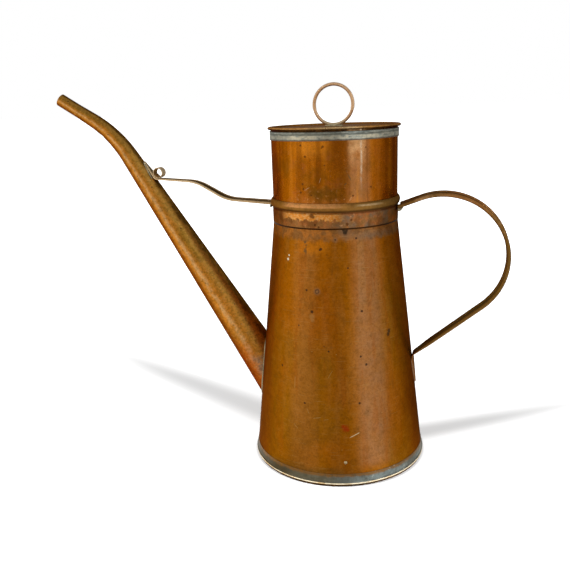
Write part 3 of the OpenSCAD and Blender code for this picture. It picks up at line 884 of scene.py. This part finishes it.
# Tints at grazing angles
EDGE, BRASS_EDGE, CURL_EDGE = (0.55, 0.30, 0.12), (0.7, 0.5, 0.3), (0.8, 0.6, 0.4)


def grain(s, amount=0.20):
    """Fine light and dark grain over the colour, at two sizes, and a softer one."""
    for scale, share in ((480, 1.0), (1000, 0.8)):
        fine = s.noise(scale, 2, 0.6, shift=scale * 0.01)
        s.paint((0.11, 0.045, 0.005), s.step(fine, 0.50, 0.36), amount * share)
        s.paint((0.66, 0.27, 0.055), s.step(fine, 0.54, 0.70), amount * share * 0.6)
    soft = s.noise(150, shift=5.5)
    s.paint((0.14, 0.055, 0.004), s.step(soft, 0.50, 0.34), amount * 1.1)
    s.paint((0.62, 0.26, 0.050), s.step(soft, 0.54, 0.70), amount * 0.7)


def hairlines(s):
    """Fine scratches that run every way."""
    lines = []
    for i, (turn, tilt) in enumerate(((0.3, 0.5), (1.4, -0.4), (2.5, 0.9))):
        spin = (tilt, turn, 0.4 * i)
        spun = s.texture("Mapping", s.place, Rotation=spin, Scale=(60, 60, 2200))[0]
        lines.append(s.step(s.texture("TexNoise", spun, Scale=1.0, Detail=1)["Fac"], 0.70, 0.76))
    return s.any(*lines)


def body_tones(s, ragged):
    """The broad tones of the body: pale and pink bands that are partly patina and partly painted
    highlight, an orange patch, soot, and painted shade towards both sides.
    """
    az, z = s.azimuth(), s.height()
    s.paint(COPPER_PALE, s.step(s.around(9, 0.12, 1.0, 4), 0.40, 0.68), 0.30)
    # Painted highlight, with some pale patina: a pale band on the left of the body.
    s.paint(COPPER_PALE, s.band(az, -114, -97, 6), s.add(s.mul(s.noise(120), 0.5), 0.22))
    # Painted highlight, with some pink patina: a pink band on the right of the body.
    right = s.mul(s.band(az, -66, -43, 6), s.step(z, 11, 22))
    s.paint(COPPER_PINK, right, s.add(s.mul(s.noise(90, 4, 0.65, shift=7.0), 0.9), 0.18))
    s.paint(COPPER_ORANGE, s.band(ragged, 203, 213, 3), s.band(az, -113, -86, 5), 0.8)
    s.paint((0.60, 0.16, 0.02), s.step(ragged, 30, 14), s.band(az, -68, -30, 9), 0.10)
    s.paint((0.17, 0.095, 0.022), s.step(ragged, 19, 11), s.left_of(-75, 9), 0.55)
    # Painted shade: the lower body darker towards both sides.
    sides = s.any(s.band(az, -170, -107, 11), s.band(az, -45, 20, 7))
    s.paint((0.29, 0.112, 0.002), s.step(z, 75, 25), sides, 0.5)
    s.paint((0.42, 0.098, 0.003), s.step(s.around(7, 0.10, 12.0, 3), 0.52, 0.62), 0.30)
    # Painted shade: the body darker towards both sides below its middle.
    painted_flank_shade = s.any(s.band(az, -175, -128, 10), s.band(az, -28, 8, 8))
    s.paint((0.31, 0.125, 0.004), painted_flank_shade, s.step(z, 125, 95), 0.40)


def body_scorch(s, scorch):
    """The heat-stained band under the hoop."""
    tone = s.mix(s.step(s.around(8, 1.0, 5.0), 0.42, 0.60), SCORCH, (0.62, 0.225, 0.045))
    tone = s.mix(s.mul(s.right_of(-65, 15), s.step(s.height(), 224, 214)), tone, SCORCH_BLUE)
    s.paint(tone, scorch, 0.85)
    s.paint((0.20, 0.070, 0.016), scorch, s.patches(0.50, 0.62, 60, 4, 0.65, shift=11.0), 0.6)


# Marks on the body: azimuth in degrees, height and radius in mm
BODY_PITS = [
    (-71.5, 219.4, 1.9), (-72.8, 221.2, 1.2), (-70.2, 220.6, 1.0), (-62, 214, 0.9), (-80, 213.5, 0.7),
    (-92, 206, 1.2), (-92.8, 205.2, 0.9), (-60, 153, 1.1), (-58.5, 107, 1.1), (-62.5, 114.5, 0.9),
    (-125, 101, 1.0), (-103.5, 72.6, 0.9), (-65, 74, 1.0), (-99, 153, 1.3), (-104, 171, 1.0),
    (-86, 120, 0.7), (-70, 190, 0.7), (-110, 140, 0.7),
]
# Scratches on the body: azimuth and height of the middle, length, tilt in degrees and width
BODY_SCRATCHES = [
    (-69.2, 45.9, 11.0, 24, 0.5), (-94.3, 61.0, 8.5, 14, 0.30), (-112, 89.5, 12.5, 90, 0.28),
    (-101, 66, 6.0, 118, 0.25), (-85, 100, 9.0, 60, 0.20), (-52, 165, 8.0, 75, 0.20),
    (-88, 60, 5.0, 12, 0.22), (-110, 50, 7.0, 140, 0.22),
]
FAINT_SCRATCHES = [(-60, 193, 9.0, 2, 0.25), (-57, 189, 12.0, -3, 0.25)]
BRIGHT_SCRATCH = [(-69.0, 46.1, 10.5, 24, 0.55)]


def body_pits(s):
    """Pits, stains, specks and two painted glints of the body; returns the mask of its pits."""
    halo = s.spots([(-71.5, 219.7, 5.5), (-80, 213.5, 2.0), (-95, 170.5, 2.6)], cone_r, 0.7)
    s.paint(SCORCH_BLUE, halo, 0.55)
    pits = s.any(s.spots(BODY_PITS, cone_r), s.mul(s.dots(110, 0.06, 0.10), 0.7),
                 s.mul(s.dots(230, 0.09, 0.06, 3.0), 0.5))
    long_pit = s.spots([(-37.6, 129.0, 1.6), (-36.6, 131.6, 1.8)], cone_r, 0.5)
    s.paint(PIT, s.any(pits, long_pit), 0.82)
    ring_mark = s.mul(s.spots([(-95, 170.5, 2.0)], cone_r, 0.15),
                      s.outside(s.spots([(-95, 170.5, 1.1)], cone_r, 0.2)))
    s.paint(PIT, ring_mark, 0.6)
    smear = s.mul(s.band(s.azimuth(), -107.5, -104.5, 0.8), s.band(s.height(), 201, 213, 2.5),
                  s.patches(0.4, 0.6, 500, 2, 0.5))
    s.paint(GREEN, smear, 0.7)
    red = s.spots([(-75, 52.4, 2.5), (-76.6, 54.3, 1.4), (-73.6, 51.0, 1.4)], cone_r, 0.9)
    s.paint((0.50, 0.030, 0.006), red, 0.75)
    # Painted highlight: two small bright glints high on the left of the body.
    s.paint((0.95, 0.90, 0.70), s.spots([(-123, 198.4, 0.9), (-124, 195, 1.1)], cone_r, 0.3))
    return pits


def body_nicks(s):
    """Scratches and pale wear of the body; returns the mask of its scratches."""
    pale = s.mul(s.spots([(-99, 149, 2.2), (-98.6, 146, 1.6)], cone_r, 0.6), 0.35)
    nicks = s.any(s.scratches(BODY_SCRATCHES, cone_r), s.mul(s.scratches(FAINT_SCRATCHES, cone_r), 0.4),
                  s.mul(s.step(s.around(70, 0.35, 9.0, 2), 0.70, 0.78), 0.16), s.mul(hairlines(s), 0.30))
    s.paint((0.72, 0.50, 0.20), s.any(nicks, pale), 0.60)
    s.paint((0.72, 0.46, 0.16), s.dots(190, 0.07, 0.14, 5.0), 0.45)
    s.paint((1.0, 0.82, 0.50), s.scratches(BRIGHT_SCRATCH, cone_r), 0.85)
    return nicks


def body_copper():
    """The body: brown copper, scorched under the hoop, pitted and scratched."""
    s = Shade("copper_body")
    ragged = s.swung(s.height(), s.around(14, 0.6, 2.0), 10.0)
    broad = s.noise(13, 3, 0.55, shift=3.1)
    scorch = s.step(ragged, 210.5, 215.5)
    s.colour = s.mix(s.step(broad, 0.46, 0.66), COPPER, COPPER_OLIVE)
    s.paint(COPPER_RED, s.step(broad, 0.44, 0.30), 0.6)
    body_tones(s, ragged)
    body_scorch(s, scorch)
    grain(s)
    pits, nicks = body_pits(s), body_nicks(s)
    rough = s.add(s.mul(broad, 0.12), s.mul(scorch, 0.10), s.mul(pits, 0.2), 0.31)
    dents = s.add(s.noise(22, 2, 0.5, stretch=(1, 1, 0.5)), s.mul(s.noise(420), 0.035),
                  s.mul(pits, -0.05), s.mul(nicks, -0.02))
    return s.finish(rough, 0.97, s.bump(dents, 0.40, 0.004), edge=EDGE)


def neck_tones(s, ragged):
    """The broad tones of the neck: warm bands, a pink band that is partly patina and partly painted
    highlight, two more painted highlights, olive and dark stains, and a black top edge that is painted
    shadow under the lid.
    """
    az, z = s.azimuth(), s.height()
    s.paint((0.20, 0.105, 0.010), s.band(az, -100, -76, 9), s.step(ragged, 262, 250),
            s.patches(0.35, 0.6, 60), 0.7)
    # Painted highlight: a warm bright band near the top of the neck, on the left.
    s.paint((0.95, 0.33, 0.020), s.band(az, -113, -86, 7), s.step(ragged, 276, 288), 0.65)
    # Painted highlight, with some pink patina: a pink band on the right of the neck.
    patina_and_sheen = s.add(s.mul(s.noise(70, 4, 0.7, shift=6.0), 0.8), 0.12)
    s.paint(COPPER_PINK, s.band(az, -69, -48, 4), patina_and_sheen)
    s.paint((0.66, 0.205, 0.035), s.step(ragged, 252, 243), s.band(az, -118, -48, 10), 0.5)
    bands = s.around(9, 0.05, 7.0, 3)
    s.paint((0.24, 0.062, 0.002), s.step(bands, 0.50, 0.36), 0.55)
    s.paint((0.78, 0.26, 0.020), s.step(bands, 0.54, 0.66), 0.45)
    ruddy = s.any(s.band(az, -45, -25, 6), s.mul(s.band(az, -82, -70, 4), s.step(z, 262, 276)))
    s.paint((0.34, 0.078, 0.003), ruddy, 0.5)
    stain = s.mul(s.patches(0.52, 0.66, 42, 3, 0.55, shift=9.0), s.band(z, 243, 268, 8),
                  s.band(az, -106, -70, 8))
    s.paint((0.17, 0.075, 0.006), stain, 0.55)
    # Painted shadow: a dark strip along the top edge, under the lid.
    s.paint((0.030, 0.012, 0.004), s.step(z, 299.6, 300.3))
    # Painted highlight: a pale band high on the right of the neck.
    s.paint((0.92, 0.50, 0.22), s.band(az, -67, -53, 3), s.step(z, 268, 290),
            s.patches(0.3, 0.6, 120, shift=2.0), 0.65)


def neck_skirt(s, ragged, skirt):
    """The scorched skirt under the hoop, with bare copper at its lower edge and a painted shadow just
    under the hoop.
    """
    az, z = s.azimuth(), s.height()
    tone = s.mix(s.step(s.around(10, 1.4, 8.0, 4), 0.42, 0.62), SCORCH, (0.52, 0.185, 0.055))
    blue = s.mul(s.right_of(-81, 11), s.step(s.around(7, 1.0, 3.0), 0.40, 0.62))
    s.paint(s.mix(blue, tone, SCORCH_BLUE), skirt)
    s.paint((0.20, 0.070, 0.018), skirt, s.patches(0.50, 0.62, 60, 4, 0.65, shift=11.0), 0.6)
    raw = s.mul(s.step(ragged, 228.6, 230.2), skirt, s.step(az, -69, -80), s.step(az, -136, -124))
    raw_tone = s.mix(s.step(s.around(26, 1.6, 6.0, 4), 0.42, 0.58), (0.95, 0.34, 0.055), COPPER_RAW)
    s.paint(raw_tone, raw, 0.95)
    s.paint((0.55, 0.155, 0.035), s.step(ragged, 231.5, 233.5), skirt, s.band(az, -72, -44, 6), 0.6)
    # Painted shadow: a dark band just under the hoop.
    s.paint((0.10, 0.028, 0.006), s.band(z, 234.2, 237.6, 0.8), 0.75)


# Marks on the neck and its skirt, and scratches, in the same terms as the body's
NECK_PITS = [
    (-89, 289, 1.0), (-90, 288, 0.7), (-105, 281, 1.0), (-109, 290, 0.8), (-108, 259, 1.0),
    (-107, 255, 0.9), (-110, 252, 0.9), (-100, 250, 0.8), (-64, 249, 0.9), (-88, 274, 0.6),
    (-52, 287, 0.7), (-47, 255, 0.8), (-100, 233, 1.9), (-98.6, 232.4, 1.4), (-97, 225.5, 1.1),
    (-94, 224, 0.8), (-69.5, 226, 1.2), (-66, 229.5, 1.0),
]
NECK_MARKS = [(-68.4, 271, 7.0, 62, 0.9), (-67, 264, 8.0, 118, 0.8), (-70, 259, 5.0, 35, 0.6)]
NECK_SCRATCHES = [(-104, 255, 6, 30, 0.25), (-92, 262, 5, 70, 0.2)]


def neck_marks(s, ragged):
    """Flecks, pits, green marks, scratches and a painted highlight along a crease of the neck; returns the
    mask of its pits.
    """
    az, z = s.azimuth(), s.height()
    fleck = s.mul(s.patches(0.60, 0.70, 330, shift=4.0), s.step(ragged, 262, 246),
                  s.band(az, -112, -60, 8))
    s.paint((0.90, 0.46, 0.20), fleck, 0.5)
    pits = s.any(s.spots(NECK_PITS, neck_r), s.mul(s.dots(200, 0.09, 0.12, 1.0), 0.6))
    s.paint((0.09, 0.03, 0.008), pits, 0.75)
    s.paint(GREEN, s.scratches(NECK_MARKS, neck_r), s.patches(0.42, 0.58, 420, shift=8.0), 0.7)
    # Painted highlight: a narrow bright streak along a crease on the right of the neck.
    line = s.mul(s.band(s.swung(az, s.noise(110), 2.4), -57.2, -55.6, 0.5),
                 s.add(s.mul(s.step(z, 258, 266), 0.8), 0.2), s.step(z, 246, 252),
                 s.patches(0.30, 0.60, 160), 0.9)
    # The scratches, together with the painted crease highlight above.
    nicks = s.any(line, s.scratches(NECK_SCRATCHES, neck_r),
                  s.mul(s.step(s.around(80, 0.25, 3.0, 2), 0.70, 0.78), 0.25))
    s.paint((0.85, 0.62, 0.42), nicks, 0.75)
    return pits


def neck_copper():
    """The neck: brighter copper than the body's, with the scorched skirt below it."""
    s = Shade("copper_neck")
    ragged = s.swung(s.height(), s.around(22, 0.8, 4.0, 4), 9.0)
    broad = s.noise(24, shift=1.3)
    blotch = s.patches(0.50, 0.66, 85, 4, 0.65, shift=2.2)
    skirt = s.step(s.height(), 238.6, 237.6)
    s.colour = s.mix(s.step(broad, 0.46, 0.64), (0.52, 0.145, 0.003), (0.36, 0.115, 0.004))
    s.paint((0.50, 0.135, 0.035), blotch, 0.40)
    neck_tones(s, ragged)
    neck_skirt(s, ragged, skirt)
    grain(s, 0.16)
    pits = neck_marks(s, ragged)
    rough = s.add(s.mul(broad, 0.12), s.mul(skirt, 0.10), s.mul(blotch, 0.05), 0.21)
    dents = s.add(s.noise(26, 2, 0.5, stretch=(1, 1, 0.35)), s.mul(s.noise(300), 0.04),
                  s.mul(pits, -0.05))
    return s.finish(rough, 0.97, s.bump(dents, 0.35, 0.003), edge=EDGE)


def spout_copper():
    """The spout: painted shade on its lower side, painted light on its upper side, a painted highlight
    along the front and painted shade along both edges; specked, reddish and grey at its root.
    """
    s = Shade("copper_spout")
    flank = s.swung(s.attribute("flank"), s.noise(60), 0.5)
    d = heading(RUN)
    along = s.vector("DOT_PRODUCT", s.place, (d[0] / MM, 0.0, d[1] / MM), "Value")
    reach = s.add(along, -float(ROOT @ d))
    broad = s.noise(20, shift=2.0)
    s.colour = s.mix(s.step(broad, 0.42, 0.62), (0.84, 0.32, 0.035), (0.70, 0.29, 0.038))
    # Painted shade: the lower side of the spout darker.
    s.paint((0.38, 0.105, 0.009), s.step(flank, 0.18, 0.55), 0.90)
    # Painted light: the upper side of the spout paler.
    s.paint((0.78, 0.43, 0.085), s.step(flank, -0.25, -0.80), 0.80)
    # Painted highlight: a bright band along the front of the spout.
    light = s.mul(s.band(flank, -0.12, 0.12, 0.13), s.patches(0.28, 0.54, 140, 4, 0.65))
    s.paint((1.0, 0.60, 0.25), light, 0.85)
    # Painted shade: dark strips along both edges of the spout.
    painted_edge_shade = s.any(s.step(flank, 0.86, 0.97), s.mul(s.step(flank, -0.90, -0.98), 0.8))
    s.paint((0.10, 0.050, 0.012), painted_edge_shade, 0.75)
    olive = s.mul(s.band(flank, -0.66, -0.28, 0.2), s.patches(0.40, 0.60, 26, shift=5.0))
    s.paint((0.42, 0.26, 0.025), olive, 0.45)
    root = s.mul(s.step(reach, 42, 14), s.step(flank, -0.5, 0.2))
    s.paint((0.52, 0.085, 0.012), root, 0.65)
    grey = s.mul(s.band(reach, -14, 12, 7), s.band(flank, -0.55, 0.15, 0.25), s.patches(0.36, 0.58, 110))
    s.paint((0.20, 0.205, 0.19), grey, 0.7)
    speckle = s.noise(300, 3, 0.65, shift=1.7)
    s.paint((0.16, 0.075, 0.010), s.step(speckle, 0.50, 0.36), 0.30)
    s.paint((1.0, 0.56, 0.20), s.step(speckle, 0.54, 0.68), 0.24)
    grain(s, 0.24)
    pits = s.any(s.dots(150, 0.11, 0.20, 2.0), s.dots(260, 0.13, 0.14, 6.0))
    s.paint(PIT, pits, 0.75)
    s.paint((0.80, 0.55, 0.25), s.dots(180, 0.10, 0.20, 9.0), 0.45)
    s.paint(SPECK, s.scratch(-180, 109.5, 69.5, 14, 0, 0.5), 0.6)
    rough = s.add(s.mul(broad, 0.10), s.mul(pits, 0.15), 0.37)
    dents = s.add(s.noise(34, 2, 0.5), s.mul(s.noise(420), 0.06), s.mul(pits, -0.05))
    return s.finish(rough, 0.97, s.bump(dents, 0.35, 0.003), edge=EDGE)


def lid_copper():
    """The lid: a worn brown top, a brighter rim with a painted highlight at the front, and painted shade
    under the rim.
    """
    s = Shade("copper_lid")
    r = s.radius()
    broad = s.patches(0.36, 0.64, 40, shift=4.0)
    top = s.mix(broad, (0.33, 0.165, 0.045), (0.48, 0.195, 0.030))
    rim = s.mix(broad, (0.95, 0.52, 0.20), (0.66, 0.32, 0.095))
    # Painted highlight on the front of the rim.
    rim = s.mix(s.mul(s.band(s.azimuth(), -98, -60, 10), 0.7), rim, (1.0, 0.74, 0.40))
    s.colour = s.mix(s.step(r, 55.2, 56.2), top, rim)
    # Painted shade: the underside of the rim made dark.
    under = s.step(s.height(), LID_RIM_Z + 0.25, LID_RIM_Z - 0.25)
    s.paint((0.035, 0.014, 0.004), under, s.step(r, 54.5, 54.9), 0.92)
    worn = s.patches(0.48, 0.64, 28, 4, shift=6.0)
    s.paint((0.20, 0.085, 0.014), worn, 0.35)
    grain(s, 0.25)
    s.paint(PIT, s.dots(260, 0.12, 0.3, 2.0), 0.6)
    s.paint((0.90, 0.62, 0.25), s.dots(200, 0.10, 0.2, 7.0), 0.4)
    normal = s.bump(s.add(s.noise(40, 2, 0.5), s.mul(s.noise(500), 0.05)), 0.3, 0.002)
    return s.finish(s.add(s.mul(broad, 0.12), 0.26), 0.92, normal, edge=EDGE)


def base_copper():
    """The base: dark below, and bright at the bead of its rim, partly from wear and partly as painted
    highlight.
    """
    s = Shade("copper_base")
    broad = s.patches(0.36, 0.64, 50, shift=4.0)
    low = s.mix(broad, (0.050, 0.026, 0.010), (0.085, 0.042, 0.016))
    # Partly wear and partly painted highlight: the top of the rim's bead made bright.
    worn = s.step(s.add(s.height(), s.mul(s.noise(120), 0.7)), 2.5, 3.2)
    bright = s.mix(s.patches(0.34, 0.55, 90, shift=1.0), (0.66, 0.46, 0.22), (0.95, 0.84, 0.60))
    s.colour = s.mix(worn, low, bright)
    grain(s, 0.2)
    normal = s.bump(s.noise(300), 0.2, 0.001)
    metallic = s.add(s.mul(worn, -0.60), 0.92)
    return s.finish(s.add(s.mul(broad, 0.1), 0.28), metallic, normal, edge=EDGE)


def hoop_brass():
    """The hoop: dull brass, with painted highlights along its upper edge and painted shade underneath."""
    s = Shade("brass_hoop")
    az, z = s.azimuth(), s.height()
    broad = s.patches(0.34, 0.66, 45, shift=5.0)
    s.colour = s.mix(broad, (0.46, 0.205, 0.040), (0.33, 0.155, 0.034))
    # Painted highlight along the upper edge, over the front.
    upper = s.mul(s.step(z, 238.9, 240.3), s.step(az, -64, -88), s.step(az, -134, -120))
    s.paint((0.98, 0.45, 0.16), upper, s.add(s.mul(s.noise(120), 0.6), 0.45))
    s.paint((0.19, 0.135, 0.045), s.right_of(-54, 10), 0.45)
    # Painted highlight: a short glint on the right of the hoop.
    glint = s.mul(s.band(z, 240.2, 241.6, 0.5), s.band(az, -60, -38, 5))
    s.paint((0.80, 0.56, 0.30), glint, 0.6)
    # Painted shade under the hoop.
    s.paint((0.10, 0.045, 0.012), s.step(z, 238.2, 236.6), 0.75)
    mottle = s.patches(0.44, 0.64, 380, 4)
    s.paint((0.17, 0.088, 0.022), mottle, 0.25)
    bright = s.mul(s.patches(0.60, 0.70, 500, shift=3.0), s.band(z, 239.5, 242, 0.8))
    s.paint((0.72, 0.48, 0.24), bright, 0.40)
    normal = s.bump(s.add(s.noise(70, 2, 0.5), s.mul(s.noise(420), 0.08)), 0.35, 0.002)
    return s.finish(s.add(s.mul(mottle, 0.10), 0.43), 0.93, normal, edge=EDGE)


def strap_brass():
    """The handle and the stay: dark webs between paler rolled edges, as painted shade and painted
    highlight, with a painted reflection under the leg and a painted highlight on the stay's foot.
    """
    s = Shade("brass_strap")
    rim = s.attribute("rim")
    broad = s.patches(0.34, 0.66, 32, shift=5.0)
    # Painted shade in the webs and painted highlight on the rolled edges.
    web = s.mix(broad, (0.060, 0.042, 0.013), (0.125, 0.072, 0.020))
    edge = s.mix(s.patches(0.38, 0.62, 55, shift=2.0), BRASS, (0.50, 0.27, 0.11))
    s.colour = s.mix(s.step(rim, 0.70, 1.0), web, edge)
    leg = s.mul(s.step(s.x, 0.060, 0.070), s.step(s.z, 0.214, 0.196))
    s.paint((0.20, 0.100, 0.018), leg, s.step(rim, 0.70, 0.95), 0.90)
    # Painted reflection: faces of the leg turned down made pale.
    s.paint((0.75, 0.46, 0.30), leg, s.step(s.facing_up(), -0.36, -0.62), 0.9)
    s.paint((0.120, 0.092, 0.030), leg, s.step(rim, 0.8, 0.6), 0.6)
    reddish = s.mul(s.step(s.z, 0.104, 0.094), s.step(s.x, 0.060, 0.066))
    s.paint((0.34, 0.120, 0.032), reddish, 0.8)
    warm = s.mul(s.step(s.z, 0.222, 0.236), s.step(s.x, 0.085, 0.105))
    s.paint((0.46, 0.19, 0.055), warm, s.step(rim, 0.4, 0.9), 0.7)
    # Painted highlight: the stay's foot on the spout made pale.
    foot = s.mul(s.step(s.z, 0.2575, 0.2625), s.step(s.x, -0.150, -0.166))
    s.paint(BRASS_FOOT_HIGHLIGHT, foot, 0.75)
    # Painted highlight on the stay's rolled edges, stronger towards the spout, and painted shade in its
    # web.
    stay = s.step(s.x, -0.050, -0.060)
    s.paint((1.0, 0.76, 0.46), stay, s.step(rim, 0.6, 0.95),
            s.add(s.mul(s.step(s.x, -0.060, -0.125), 0.35), 0.5))
    s.paint((0.075, 0.046, 0.016), stay, s.step(rim, 0.55, 0.3), 0.7)
    mottle = s.patches(0.46, 0.62, 420)
    s.paint(BRASS_DARK, mottle, 0.16)
    normal = s.bump(s.noise(60, 2, 0.5), 0.12, 0.0015)
    return s.finish(s.add(s.mul(mottle, 0.08), 0.36), 0.9, normal, edge=BRASS_EDGE)


def ring_bronze():
    """The lid's ring: pale bronze."""
    s = Shade("bronze_ring")
    broad = s.patches(0.34, 0.66, 60, shift=1.0)
    s.colour = s.mix(broad, (0.84, 0.55, 0.33), (0.66, 0.38, 0.19))
    s.paint((0.62, 0.52, 0.34), s.step(s.z, 0.3095, 0.3055), 0.8)
    s.paint((0.30, 0.160, 0.070), s.patches(0.5, 0.66, 450), 0.15)
    normal = s.bump(s.noise(260), 0.12, 0.001)
    return s.finish(s.add(s.mul(broad, 0.08), 0.32), 0.85, normal, edge=BRASS_EDGE)


def curl_brass():
    """The eye at the foot of the stay: pale outside, with painted shade inside."""
    s = Shade("brass_curl")
    off = s.vector("SUBTRACT", s.place, (CURL[0] * MM, 0, CURL[1] * MM))
    r = s.vector("LENGTH", s.vector("MULTIPLY", off, (1 / MM, 0.0, 1 / MM)), out="Value")
    broad = s.patches(0.36, 0.62, 150, shift=1.0)
    # Painted shade inside the roll.
    s.colour = s.mix(s.step(r, 4.2, 4.6), (0.36, 0.20, 0.075), (1.0, 0.80, 0.54))
    s.paint((0.22, 0.120, 0.045), broad, 0.35)
    normal = s.bump(s.noise(400), 0.15, 0.001)
    return s.finish(0.3, 0.9, normal, edge=CURL_EDGE)


def tin_finish(s, metallic=0.8):
    """A dull, uneven finish, for tin and solder."""
    mottle = s.patches(0.42, 0.66, 380, 4)
    if metallic < 1:
        s.paint(TIN_DARK, mottle, 0.30)
    normal = s.bump(s.add(s.noise(60, 2, 0.5), s.mul(s.noise(320, 4), 0.14)), 0.4, 0.002)
    return s.finish(s.add(s.mul(mottle, 0.14), 0.30), metallic, normal)


def tin_shade(name, light=TIN, dark=(0.16, 0.17, 0.15)):
    """The start of a tin or solder material: two tones in broad patches."""
    s = Shade(name)
    s.colour = s.mix(s.patches(0.36, 0.64, 55, 4, shift=2.0), light, dark)
    return s


def mouth_tin():
    """The tinned band at the mouth: darker in the middle, with a pale crest that painted highlight makes
    brighter on two sides, a dark line, and painted shadow along its top under the lid.
    """
    s = tin_shade("tin_mouth")
    az, z = s.azimuth(), s.height()
    s.paint((0.50, 0.50, 0.42), s.step(s.around(9, 3.0, 4.0, 4), 0.44, 0.66), 0.6)
    s.paint(TIN_DARK, s.band(az, -93, -76, 8), 0.55)
    ragged = s.swung(z, s.around(14, 1.0, 2.0), 1.6)
    # A pale crest round the band, with painted highlight making it stronger on the two sides.
    crest = s.mul(s.band(ragged, 294.6, 297.3, 0.4), s.step(s.around(12, 2.0, 6.0, 3), 0.30, 0.52))
    sides = s.any(s.band(az, -121, -96, 5), s.band(az, -73, -42, 6))
    s.paint((0.62, 0.55, 0.40), crest, s.add(s.mul(sides, 0.35), 0.45))
    s.paint((0.09, 0.085, 0.060), s.band(ragged, 297.6, 298.7, 0.3), 0.6)
    s.paint((0.12, 0.055, 0.020), s.step(ragged, 294.6, 293.6), 0.75)
    # Painted shadow along the top of the band, under the lid's rim.
    s.paint((0.04, 0.030, 0.020), s.step(z, 299.5, 300.2), 0.8)
    return tin_finish(s)


def base_tin():
    """The band of solder at the base: brown to the left, bluish and flecked to the right."""
    s = tin_shade("solder_base")
    az, z = s.azimuth(), s.height()
    s.paint((0.085, 0.058, 0.020), s.left_of(-106, 14))
    s.paint((0.145, 0.115, 0.055), s.band(az, -112, -84, 7), 0.6)
    s.paint((0.22, 0.26, 0.25), s.band(az, -72, -34, 7), 0.6)
    ragged = s.swung(z, s.around(12, 1.0, 3.0, 4), 4.0)
    s.paint((0.27, 0.115, 0.018), s.step(ragged, 7.6, 10.2), 0.9)
    s.paint((0.080, 0.070, 0.040), s.patches(0.46, 0.62, 90, 4, 0.65, shift=7.0), 0.45)
    s.paint(TIN_PALE, s.patches(0.60, 0.70, 260, 3, 0.65, shift=6.0), s.band(az, -62, -28, 6), 0.6)
    s.paint(GREEN, s.dots(220, 0.14, 0.3, 4.0), 0.7)
    return tin_finish(s)


def lump_solder():
    """The lumps and beads at the joints: yellowish, and brown at the handle's tab."""
    s = tin_shade("solder")
    s.paint((0.36, 0.29, 0.16), 0.7)
    s.paint((0.62, 0.52, 0.32), s.patches(0.40, 0.62, 120, shift=3.0), 0.8)
    s.paint((0.24, 0.095, 0.030), s.step(s.height(), 112, 100), s.step(s.x, 0.055, 0.062), 0.85)
    s.paint(GREEN, s.dots(300, 0.14, 0.3, 4.0), 0.6)
    return tin_finish(s)


def seam_solder():
    """The seam up the body: dark copper brown."""
    return tin_finish(tin_shade("solder_seam", (0.095, 0.034, 0.008), (0.050, 0.020, 0.006)), 1.0)


REPAIR_DOT = (-75.5, 22)        # azimuth in degrees and height in mm


def dot_tin():
    """The repair dot: a dull disc with a paler ring and a bright middle."""
    s = Shade("solder_dot")

    def disc(radius, soft):
        return s.spots([(*REPAIR_DOT, radius)], cone_r, soft)

    ring = s.mul(disc(1.35, 0.15), s.outside(disc(0.9, 0.2)))
    s.colour = s.mix(s.noise(500, 3, 0.5), (0.22, 0.15, 0.060), (0.34, 0.24, 0.11))
    s.paint((0.50, 0.40, 0.24), ring, 0.6)
    s.paint((0.98, 0.95, 0.80), disc(0.48, 0.4))
    return s.finish(0.35, 0.6, s.bump(s.noise(400, 2, 0.5), 0.2, 0.001))


# ---------------------------------------------------------------- the can

make_camera()
make_studio()
MATS = {"solder": lump_solder()}
assign(["body"], body_copper())
assign(["neck"], neck_copper())
assign(["neck_hoop"], hoop_brass())
assign(["mouth_band"], mouth_tin())
assign(["base_solder"], base_tin())
assign(["seam_solder"], seam_solder())
assign(["repair_dot"], dot_tin())
assign(["lid_plate", "lid_collar"], lid_copper())
assign(["lid_ring"], ring_bronze())
strap = strap_brass()
assign(["handle", "stay"], strap)
assign(["stay_curl"], curl_brass())
assign(["spout", "base_disc"], base_copper())
assign(["spout_solder", "stay_solder", "foot_solder"], MATS["solder"])
assign(["handle_top_solder", "handle_tab_solder", "ring_solder"], MATS["solder"])
make_spout(spout_copper())
make_base(base_copper())
make_handle(strap)
make_stay(strap)
make_curl(curl_brass())
make_solders()
